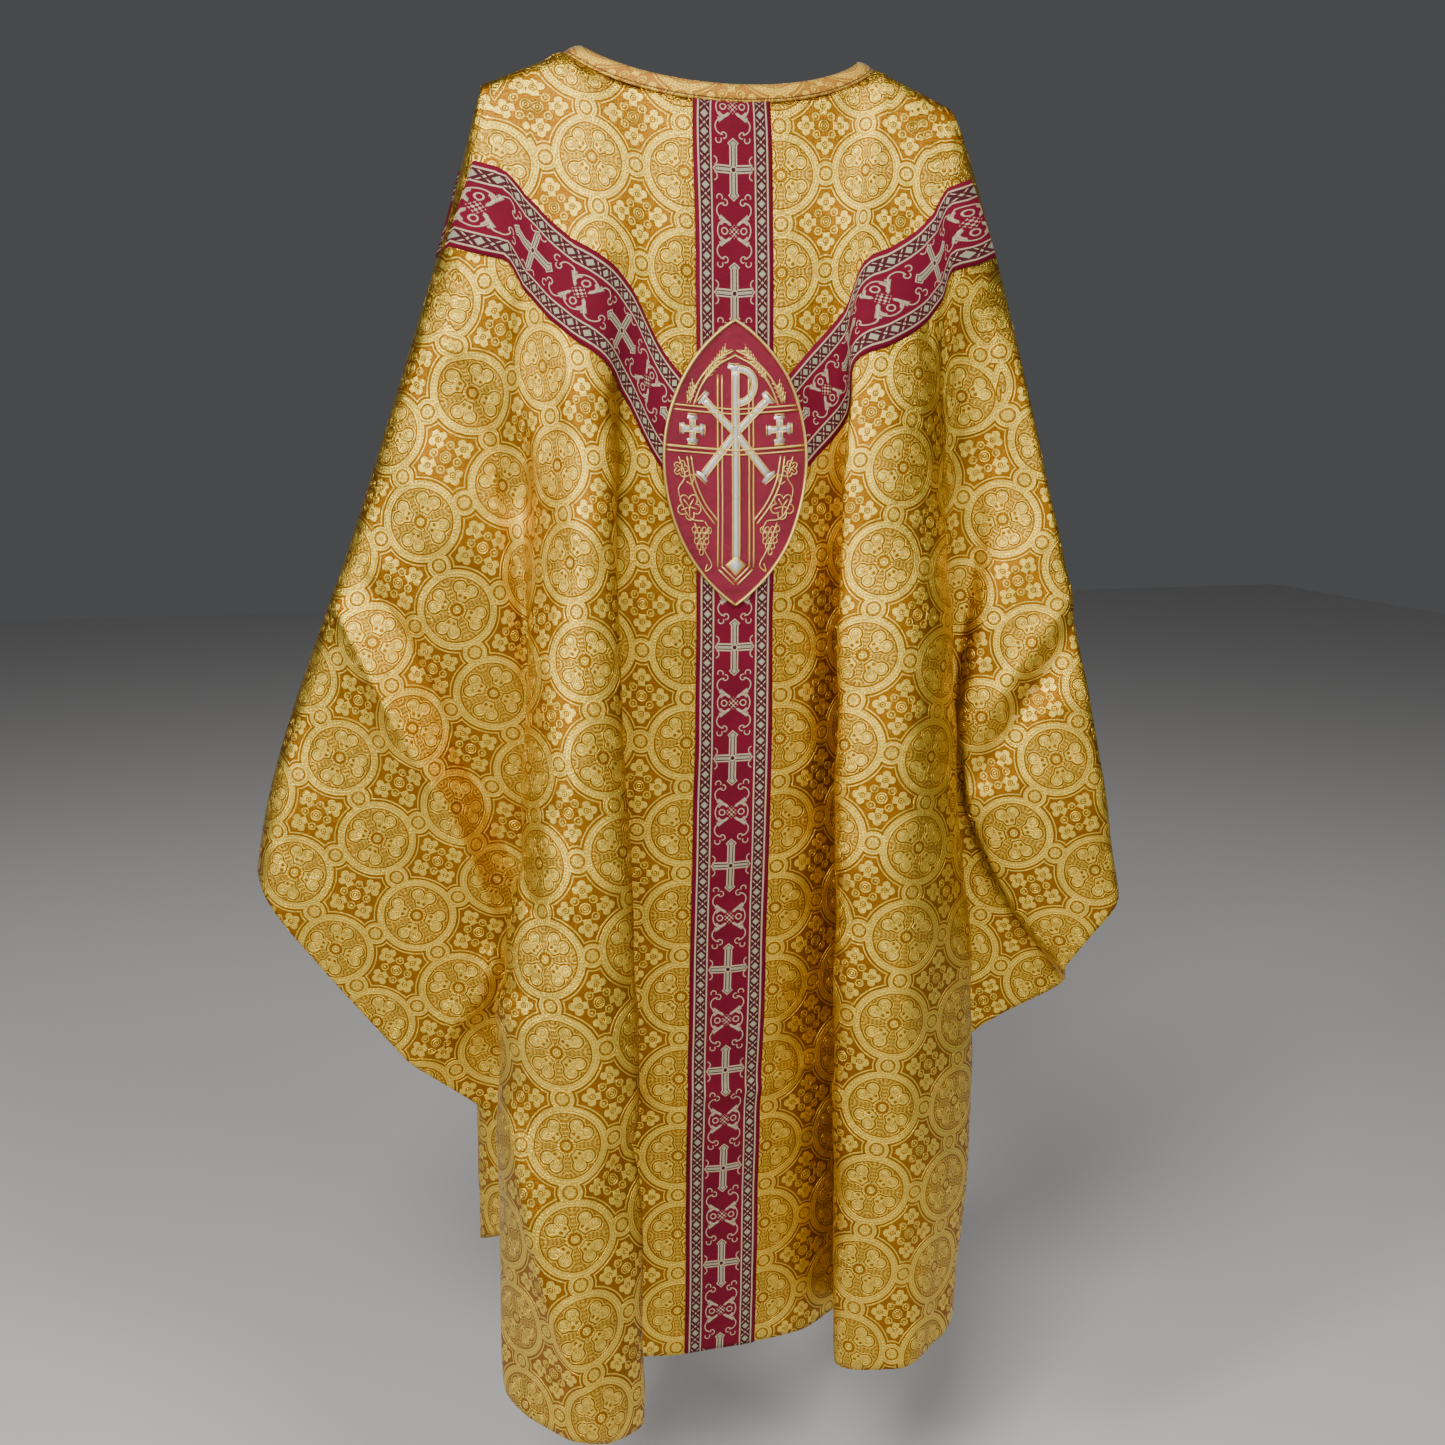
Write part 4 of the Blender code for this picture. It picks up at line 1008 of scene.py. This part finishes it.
def make_bands(panel, side, galloon):
    """The Y of galloon on one panel: a pillar down the centre and an arm to each seam."""
    top = -neck_drop(panel.front) + 0.001
    length = HEM_DROP + top
    down = Vector((0.0, -1.0))
    first_cross = 0.058 if not panel.front else 0.035
    band(panel, side + "_pillar", Vector((0.0, top)), down, length, (),
         (side + "_pillar_galloon",), galloon, first_cross)
    for hand, word in ((-1, "left"), (1, "right")):
        start = seam_flat(ARM_DISTANCE)
        reach = start.x / math.sin(SEAM_SLOPE) + GALLOON_WIDTH / 2
        start.x *= hand
        run = Vector((-hand * math.sin(SEAM_SLOPE), -math.cos(SEAM_SLOPE)))
        edge = Vector((hand * GALLOON_WIDTH / 2, start.y - abs(start.x) / math.tan(SEAM_SLOPE)))
        narrowing = abs(panel.in_weave(edge).x / edge.x)
        butt = Vector((hand * (GALLOON_WIDTH / 2 + 0.0006) / narrowing, 0.0))
        band(panel, side + "_arm_" + word, start, run, reach, ((butt, -butt),),
             (side + "_arm_galloon_" + word,), galloon, 0.066, "flat")


def make_binding_strip(brocade_strip):
    """The strip that finishes the neck: a rounded ribbon swept round the whole loop."""
    stations = []
    for front in (True, False):
        drop = FRONT_NECK_DROP if front else BACK_NECK_DROP
        out = NECK_OUT - BINDING_WIDTH * BINDING_LEAN
        count = 60
        for k in range(count):
            top = 1 - 2 * k / count
            side = (1 if top > 0 else -1) * (1 if front else -1)
            inner = top_hung(front, abs(top), NECK_HALF, drop, out)
            outer = top_hung(front, abs(top))
            inner.x, outer.x = inner.x * side, outer.x * side
            stations.append((inner, outer))
    bm = bmesh.new()
    bmesh.ops.create_grid(bm, x_segments=len(stations), y_segments=6, size=0.5)
    bm.verts.ensure_lookup_table()
    uv = bm.loops.layers.uv.new("flat_cut")
    grid = {}
    for vert in bm.verts:
        grid[vert] = (round((vert.co.x + 0.5) * len(stations)), vert.co.y + 0.5)
    lengths = [0.0]
    for (_, a), (_, b) in zip(stations, stations[1:] + stations[:1]):
        lengths.append(lengths[-1] + (b - a).length)
    for face in bm.faces:
        face.smooth = True
        for loop in face.loops:
            k, share = grid[loop.vert]
            loop[uv].uv = (lengths[k], share * BINDING_WIDTH)
    for vert, (k, share) in grid.items():
        inner, outer = stations[k % len(stations)]
        level = abs(outer.y) > 1e-5
        outwards = Vector((0.0, outer.y, 0.0)).normalized() if level else Vector((0, 0, 1))
        outwards = (outwards + Vector((0.0, 0.0, 0.35))).normalized()
        crown = 0.0016 * (1 - (2 * share - 1) ** 2)
        vert.co = inner.lerp(outer, share * 1.03) + outwards * (0.0008 + crown)
    bmesh.ops.remove_doubles(bm, verts=list(bm.verts), dist=0.00002)
    bmesh.ops.recalc_face_normals(bm, faces=list(bm.faces))
    if sum(f.normal.z for f in bm.faces) < 0:
        bmesh.ops.reverse_faces(bm, faces=list(bm.faces))
    finish_piece(bm, "neck_edge", brocade_strip, ("neck_binding",),
                 BINDING_THICK, -1.0)


# ---- the emblem --------------------------------------------------------------------
EMBLEM_BASE = BROCADE_TOP + GALLOON + 0.0006


def almond_half_width(y):
    """Half width of the emblem at a height from its middle."""
    half_w, half_h = EMBLEM_WIDTH / 2, EMBLEM_HEIGHT / 2
    radius = (half_h ** 2 + half_w ** 2) / (2 * half_w)
    return math.sqrt(max(radius ** 2 - y ** 2, 0.0)) - (radius - half_w)


def almond(inset, steps):
    """Pointed oval of the emblem, as points about its middle, anticlockwise and closed."""
    half_w, half_h = EMBLEM_WIDTH / 2, EMBLEM_HEIGHT / 2
    radius = (half_h ** 2 + half_w ** 2) / (2 * half_w)
    reach = radius - inset
    swing = math.acos((radius - half_w) / reach)
    points = []
    for side in (1, -1):
        for k in range(steps):
            turn = -swing + 2 * swing * k / steps
            points.append(Vector((side * (reach * math.cos(turn) - (radius - half_w)),
                                  side * reach * math.sin(turn))))
    return points


def make_emblem_patch(panel, satin):
    """The crimson satin almond."""
    bm = bmesh.new()
    bmesh.ops.create_grid(bm, x_segments=48, y_segments=110, size=0.5)
    uv = bm.loops.layers.uv.new("patch")
    for vert in bm.verts:
        y = vert.co.y * EMBLEM_HEIGHT * 0.9999
        vert.co = (vert.co.x * 2 * almond_half_width(y), y, 0.0)
    for face in bm.faces:
        face.smooth = True
        for loop in face.loops:
            loop[uv].uv = loop.vert.co.xy
    area = area_of(bm)
    for vert in bm.verts:
        pucker = noise.noise(Vector((vert.co.x * 22, vert.co.y * 150, 0.0))) * 0.0007
        vert.co = panel.hang(vert.co.x, vert.co.y - EMBLEM_DROP, EMBLEM_BASE + pucker)
    bmesh.ops.remove_doubles(bm, verts=list(bm.verts), dist=0.00001)
    bm.normal_update()
    piece = finish_piece(bm, "emblem_satin", satin, ("emblem_ground",),
                         SATIN_THICK, 1.0)


SATIN_TOP = EMBLEM_BASE + SATIN_THICK


def add_cord(bm, panel, points, width, height, closed=False, sides=6):
    """A rounded cord laid along points of the emblem, added to a mesh."""
    uv = bm.loops.layers.uv.verify()
    columns = len(points) + (1 if closed else 0)
    made = bmesh.ops.create_grid(bm, x_segments=columns - 1, y_segments=sides, size=0.5)
    verts = made["verts"]
    lengths = [0.0]
    for a, b in zip(points, points[1:] + points[:1]):
        lengths.append(lengths[-1] + (b - a).length)
    keys = {}
    for vert in verts:
        keys[vert] = (round((vert.co.x + 0.5) * (columns - 1)), vert.co.y + 0.5)
    for face in {f for v in verts for f in v.link_faces}:
        face.smooth = True
        for loop in face.loops:
            k, share = keys[loop.vert]
            loop[uv].uv = (lengths[k], share * width)
    for vert, (k, share) in keys.items():
        last = len(points) - 1
        before = points[(k - 1) % len(points)] if closed or k > 0 else points[0]
        after = points[(k + 1) % len(points)] if closed or k < last else points[last]
        here = points[k % len(points)]
        run = (after - before).normalized()
        side = Vector((-run.y, run.x))
        turn = math.pi * share
        spot = here - side * math.cos(turn) * width / 2
        ends = 0.35 if not closed and k in (0, last) else 1.0
        lift = math.sin(turn) * height * ends
        vert.co = panel.hang(spot.x, spot.y - EMBLEM_DROP, SATIN_TOP + lift - THREAD_SUNK)


def add_pad(bm, panel, middle, long, wide, turn, height, square=False):
    """A small padded shape of satin stitch, an oval or a square, added to a mesh."""
    uv = bm.loops.layers.uv.verify()
    made = bmesh.ops.create_grid(bm, x_segments=6, y_segments=6, size=1.0)
    verts = made["verts"]
    keys = {vert: vert.co.xy.copy() for vert in verts}
    for face in {f for v in verts for f in v.link_faces}:
        face.smooth = True
        for loop in face.loops:
            x, y = keys[loop.vert]
            loop[uv].uv = (middle.x + x * long / 2, middle.y + y * wide / 2)
    cos, sin = math.cos(turn), math.sin(turn)
    for vert, (x, y) in keys.items():
        px, py = x * long / 2, y * wide / 2
        if not square:
            px, py = px * math.sqrt(1 - y * y / 2), py * math.sqrt(1 - x * x / 2)
        lift = height * math.sqrt(max(1 - max(abs(x), abs(y)) ** 2, 0.0))
        spot = middle + Vector((px * cos - py * sin, px * sin + py * cos))
        vert.co = panel.hang(spot.x, spot.y - EMBLEM_DROP, SATIN_TOP + lift - THREAD_SUNK)


def arc(middle, radius, first, last, pieces):
    """Points round part of a circle, angles in degrees."""
    turns = [math.radians(first + (last - first) * k / pieces) for k in range(pieces + 1)]
    return [middle + radius * Vector((math.cos(turn), math.sin(turn))) for turn in turns]


def straight(a, b, pieces=8):
    """Points along a straight line."""
    a, b = Vector(a), Vector(b)
    return [a.lerp(b, k / pieces) for k in range(pieces + 1)]


def curve(*corners, pieces=6):
    """A smooth line through a few points."""
    route = spline([Vector(corner) for corner in corners])
    count = pieces * (len(corners) - 1)
    return [route(k / pieces) for k in range(count + 1)]


def finish_stitched(bm, name, material, stands_for=()):
    """Turn a stitched mesh to face out and make a piece of it."""
    bmesh.ops.recalc_face_normals(bm, faces=list(bm.faces))
    bm.normal_update()
    if sum(face.normal.y * face.calc_area() for face in bm.faces) > 0:
        bmesh.ops.reverse_faces(bm, faces=list(bm.faces))
    return finish_piece(bm, name, material, stands_for, 0.0003, -1.0)


def make_emblem_border(panel, gold):
    """The gold cord round the satin."""
    bm = bmesh.new()
    add_cord(bm, panel, almond(0.0014, 60), 0.0030, 0.0026, closed=True, sides=8)
    finish_stitched(bm, "emblem_border", gold, ("emblem_cord",))


def add_twin(bm, panel, points):
    """Two gold cords side by side."""
    for side in (-1, 1):
        add_cord(bm, panel, beside(points, side * 0.0021), 0.0018, 0.0015)


def mirrored(points):
    """The same line on the other side of the centre."""
    return [Vector((-point.x, point.y)) for point in points]


def make_emblem_frame(panel, gold):
    """Double gold lines: two uprights that meet in a point, arcs, and two level bars."""
    bm = bmesh.new()
    upright = straight((0.0150, 0.078), (0.0150, -0.093), 20)
    foot = straight((0.0150, -0.093), (0.0, -0.1065), 4)
    arch = curve((0.0430, 0.050), (0.0345, 0.069), (0.0190, 0.087), (0.0, 0.0985))
    sweep = curve((0.0455, 0.005), (0.0410, -0.018), (0.0310, -0.038), (0.0185, -0.053))
    for points in (upright, foot, arch, sweep):
        add_twin(bm, panel, points)
        add_twin(bm, panel, mirrored(points))
    for level in (0.0465, 0.0105):
        half_w = almond_half_width(level) - 0.003
        add_twin(bm, panel, straight((-half_w, level), (half_w, level), 20))
    finish_stitched(bm, "emblem_frame", gold)


def add_stroke(fill, edge, panel, points, width):
    """One stroke of flat silver stitching with a gold cord down both sides."""
    add_cord(fill, panel, points, width, 0.0012, sides=8)
    for side in (-1, 1):
        add_cord(edge, panel, beside(points, side * (width / 2 + 0.0003)), 0.0015, 0.0018, sides=4)


def add_serif(fill, edge, panel, tip, run, half):
    """The flared end of a stroke."""
    run = run.normalized()
    side = Vector((-run.y, run.x))
    a, b = tip - side * half + run * 0.0012, tip + side * half + run * 0.0012
    add_cord(fill, panel, [a, tip - run * 0.0004, b], 0.0046, 0.0012, sides=8)
    add_cord(edge, panel, straight(a + run * 0.0022, b + run * 0.0022, 4), 0.0014, 0.0018, sides=4)


def make_monogram(panel, silver, gold):
    """An upright with a loop, crossed by two slanting bars, in silver edged with gold."""
    fill, edge = bmesh.new(), bmesh.new()
    cross = Vector((0.0, 0.0276))
    for x, y in ((-0.031, 0.028), (0.031, 0.028), (-0.032, -0.040), (0.032, -0.040)):
        tip = cross + Vector((x, y))
        add_stroke(fill, edge, panel, straight(cross, tip, 8), 0.0056)
        add_serif(fill, edge, panel, tip, Vector((x, y)), 0.0074)
    add_stroke(fill, edge, panel, straight((0.0, 0.085), (0.0, -0.087), 24), 0.0062)
    add_stroke(fill, edge, panel, arc(Vector((0.0035, 0.0690)), 0.0148, 100, -100, 14), 0.0052)
    add_serif(fill, edge, panel, Vector((-0.001, 0.0850)), Vector((0.0, 1.0)), 0.0062)
    for grown, bm in ((0.0112, fill), (0.0140, edge)):
        add_pad(bm, panel, Vector((0.0, -0.0905)), grown, grown, math.pi / 4,
                0.0016 if bm is fill else 0.0012, square=True)
    finish_stitched(fill, "monogram_fill", silver, ("emblem_monogram",))
    finish_stitched(edge, "monogram_edge", gold)


def beside(points, away):
    """The same line moved sideways."""
    moved = []
    for k, here in enumerate(points):
        run = (points[min(k + 1, len(points) - 1)] - points[max(k - 1, 0)]).normalized()
        moved.append(here + Vector((-run.y, run.x)) * away)
    return moved


def make_side_crosses(panel, silver, gold):
    """The small cross on each side of the monogram."""
    edge = bmesh.new()
    for side, word in ((-1, "left"), (1, "right")):
        fill = bmesh.new()
        middle = Vector((side * 0.0420, 0.0285))
        for reach in ((0.0090, 0.0), (0.0, 0.0098), (-0.0090, 0.0), (0.0, -0.0098)):
            reach = Vector(reach)
            add_stroke(fill, edge, panel, straight(middle, middle + reach, 4), 0.0046)
            add_serif(fill, edge, panel, middle + reach, reach, 0.0050)
        finish_stitched(fill, "side_cross_" + word, silver, ("emblem_cross_" + word,))
    finish_stitched(edge, "side_cross_edges", gold)


VINE_LINES = (                # stem, tail and two tendrils, right half, about the emblem's middle
    ((0.0560, 0.004), (0.0500, -0.014), (0.0560, -0.026), (0.0440, -0.050), (0.0300, -0.052)),
    ((0.0400, -0.054), (0.0300, -0.078), (0.0230, -0.092), (0.0290, -0.097), (0.0270, -0.090)),
    ((0.0500, -0.014), (0.0420, -0.012), (0.0430, -0.020), (0.0480, -0.018)),
    ((0.0300, -0.052), (0.0260, -0.060), (0.0320, -0.063)),
)
GRAPE_ROWS = (4, 3, 3, 2, 1)


def make_vines(panel, gold):
    """Vine, leaves and grapes in the lower half, ears of wheat in the upper half."""
    bm = bmesh.new()
    for side in (-1, 1):
        def at(x, y):
            return Vector((side * x, y))
        tilt = 0.0 if side > 0 else math.pi
        for points in VINE_LINES:
            add_cord(bm, panel, curve(*[at(*point) for point in points]), 0.0013, 0.0011, sides=4)
        vine_leaf(bm, panel, at(0.0535, -0.007), 0.0072, tilt + side * 0.6)
        vine_leaf(bm, panel, at(0.0455, -0.040), 0.0118, tilt - side * 0.4)
        for row, count in enumerate(GRAPE_ROWS):
            for k in range(count):
                spot = at(0.0330 + (k - (count - 1) / 2) * 0.0050, -0.0600 - row * 0.0050)
                turns = [t * math.pi / 5 for t in range(10)]
                ring = [spot + Vector((0.0020 * math.cos(t), 0.0027 * math.sin(t))) for t in turns]
                add_cord(bm, panel, ring, 0.0010, 0.0010, closed=True, sides=4)
        wheat(bm, panel, at(0.0330, 0.0700), at(0.0080, 0.1010), 8)
        wheat(bm, panel, at(0.0480, 0.0500), at(0.0400, 0.0680), 4)
    finish_stitched(bm, "emblem_vines", gold)


def vine_leaf(bm, panel, middle, size, turn):
    """A five-lobed leaf in outline, with its veins."""
    outline = []
    for k in range(50):
        angle = 2 * math.pi * k / 50
        reach = size * (0.55 + 0.45 * abs(math.cos(2.5 * angle)) ** 0.7)
        outline.append(middle + reach * Vector((math.cos(angle + turn), math.sin(angle + turn))))
    add_cord(bm, panel, outline, 0.0013, 0.0012, closed=True, sides=4)
    for k in range(5):
        angle = 2 * math.pi * k / 5 + turn
        tip = middle + 0.72 * size * Vector((math.cos(angle), math.sin(angle)))
        add_cord(bm, panel, straight(middle, tip, 3), 0.0012, 0.0011, sides=4)


def wheat(bm, panel, foot, tip, pairs):
    """An ear of wheat: a stalk with pairs of grains, each with its beard."""
    run = tip - foot
    turn = math.atan2(run.y, run.x)
    add_cord(bm, panel, straight(foot, tip, 6), 0.0012, 0.0010, sides=4)
    for k in range(pairs):
        for side in (-1, 1):
            angle = turn + side * 0.5
            ahead = Vector((math.cos(angle), math.sin(angle)))
            spot = foot.lerp(tip, 0.15 + 0.85 * k / pairs)
            add_pad(bm, panel, spot + ahead * 0.0028, 0.0062, 0.0021, angle, 0.0013)
            beard = straight(spot + ahead * 0.005, spot + ahead * 0.0085, 2)
            add_cord(bm, panel, beard, 0.0008, 0.0008, sides=4)


def make_thread(name, pale, deep, metallic, slant):
    """Laid metallic thread, with its strands across the cord."""
    loom = Loom(name, roughness=0.36, metallic=metallic)
    s, t = loom.flat_cut("UVMap")
    strand = ((s + t * slant) * (2 * math.pi / 0.0011)).sum("SINE") * 0.5 + 0.5
    grain = loom.speckle(700.0, 1.0)
    colour = loom.paint(strand * 0.8 + grain * 0.2, deep, pale)
    loom.set("Base Color", colour)
    loom.set("Roughness", 0.30 + 0.22 * grain)
    loom.rises(strand * 0.8 + grain * 0.2, 0.0004)
    return loom.material


def make_patch_satin():
    """Crimson satin of the emblem's ground."""
    loom = Loom("crimson satin", specular=0.3)
    _, v = loom.flat_cut("patch")
    grain = loom.speckle(900.0, 1.0)
    clouds = loom.speckle(40.0, 2.0)
    floats = (v * (2 * math.pi / 0.0010)).sum("SINE") * 0.5 + 0.5
    colour = loom.paint(clouds, (0.150, 0.000, 0.015), (0.240, 0.0005, 0.024))
    loom.set("Base Color", loom.shade(colour, 0.88 + 0.2 * floats))
    loom.set("Roughness", 0.36 + 0.14 * grain)
    loom.rises(floats * 0.5 + clouds * 1.5 + grain * 0.3, 0.0004)
    return loom.material


def make_binding_cloth():
    """Brocade strip of the neck, with its stitched row and a groove, sunk as relief and darkened by
    painted shade.
    """
    loom = Loom("binding brocade", metallic=0.5, sheen=0.15)
    u, v = loom.flat_cut("flat_cut")
    pale = brocade_figure(loom, u, v)
    grain = loom.speckle(900.0, 1.0)
    threads = weave_of(u + v, u - v, THREAD_PITCH)
    ground = loom.paint(grain, (0.38, 0.150, 0.005), (0.48, 0.200, 0.008))
    colour = loom.paint(pale * 0.9, ground, (0.80, 0.500, 0.040))
    from_row = v - (BINDING_WIDTH - BINDING_STITCH)
    row = stitches(loom, from_row, u, STITCH_PITCH, 0.0009)
    groove_and_shade = loom.within(abs(from_row) - 0.0006, 0.0008)
    # painted shade: the groove's colour is darkened where shade would fall in it, besides its relief
    colour = loom.paint(groove_and_shade * 0.5, colour, (0.20, 0.09, 0.012))
    colour = loom.paint(row, colour, (0.13, 0.055, 0.010))
    loom.set("Base Color", colour)
    loom.set("Roughness", 0.48 - 0.15 * pale)
    loom.rises(pale * 0.5 + threads * 0.3 + grain * 0.3 - groove_and_shade, 0.0007)
    return loom.material


# ---- room ---------------------------------------------------------------------------
LIGHT_COLOUR = (1.0, 0.98, 0.95)
LIGHTS_AIM = (0.0, 0.0, -0.6)
LIGHTS = (                    # name, place, size in metres, power in watts
    ("key", (-1.3, -2.2, 1.8), 1.3, 105.0),
    ("right", (1.1, -1.9, 1.5), 0.9, 46.0),
    ("side", (-2.9, -1.3, 0.5), 0.5, 62.0),
    ("low", (0.2, -2.9, -0.5), 1.0, 13.0),
)
FLOOR_LEVEL = -1.45
WORLD_COLOUR = (0.80, 0.82, 0.86, 1.0)
WORLD_STRENGTH = 0.09
CAMERA_PLACE = (-0.346, -1.388, -0.317)
CAMERA_PITCH = math.radians(90 - 11.3)
CAMERA_TURN = math.radians(-14.0)
CAMERA_LENS = 37.72


def make_room():
    """A plain pale floor and soft lights."""
    bm = bmesh.new()
    bmesh.ops.create_grid(bm, x_segments=1, y_segments=1, size=6.0)
    bmesh.ops.translate(bm, verts=list(bm.verts), vec=(0.0, 2.0, FLOOR_LEVEL))
    mesh = bpy.data.meshes.new("floor")
    bm.to_mesh(mesh)
    bm.free()
    floor = bpy.data.objects.new("floor", mesh)
    bpy.context.scene.collection.objects.link(floor)
    loom = Loom("pale floor", roughness=0.8)
    loom.set("Base Color", (0.62, 0.61, 0.60))
    mesh.materials.append(loom.material)
    world = bpy.data.worlds.new("studio")
    bpy.context.scene.world = world
    world.use_nodes = True
    world.node_tree.nodes["Background"].inputs[0].default_value = WORLD_COLOUR
    world.node_tree.nodes["Background"].inputs[1].default_value = WORLD_STRENGTH
    for name, place, size, power in LIGHTS:
        add_light(name, place, size, power)


def add_light(name, place, size, power):
    """A square soft light, turned to the middle of the garment."""
    lamp = bpy.data.lights.new(name, "AREA")
    lamp.size, lamp.energy, lamp.color = size, power, LIGHT_COLOUR
    light = bpy.data.objects.new(name, lamp)
    bpy.context.scene.collection.objects.link(light)
    light.location = place
    aim = Vector(LIGHTS_AIM) - Vector(place)
    light.rotation_euler = aim.to_track_quat("-Z", "Y").to_euler()


def make_camera():
    """The camera, left of the middle and looking a little down."""
    camera = bpy.data.cameras.new("camera")
    camera.lens, camera.sensor_width = CAMERA_LENS, 36.0
    holder = bpy.data.objects.new("camera", camera)
    bpy.context.scene.collection.objects.link(holder)
    holder.location = CAMERA_PLACE
    holder.rotation_euler = (CAMERA_PITCH, 0.0, CAMERA_TURN)
    bpy.context.scene.camera = holder


def main():
    """Make the materials, both panels, the trimmings and the room."""
    brocade, lining, galloon = make_brocade(), make_lining(), make_galloon()
    gold = make_thread("gold thread", (1.00, 0.82, 0.30), (0.55, 0.33, 0.04), 0.85, 1.0)
    silver = make_thread("silver thread", (0.86, 0.84, 0.78), (0.42, 0.40, 0.36), 0.7, 0.3)
    back, front = Panel(False), Panel(True)
    for panel, side in ((back, "back"), (front, "front")):
        make_cloth(panel, side, brocade, lining)
        make_bands(panel, side, galloon)
    make_binding_strip(make_binding_cloth())
    make_emblem_patch(back, make_patch_satin())
    make_emblem_border(back, gold)
    make_emblem_frame(back, gold)
    make_monogram(back, silver, gold)
    make_side_crosses(back, silver, gold)
    make_vines(back, gold)
    make_room()
    make_camera()


main()
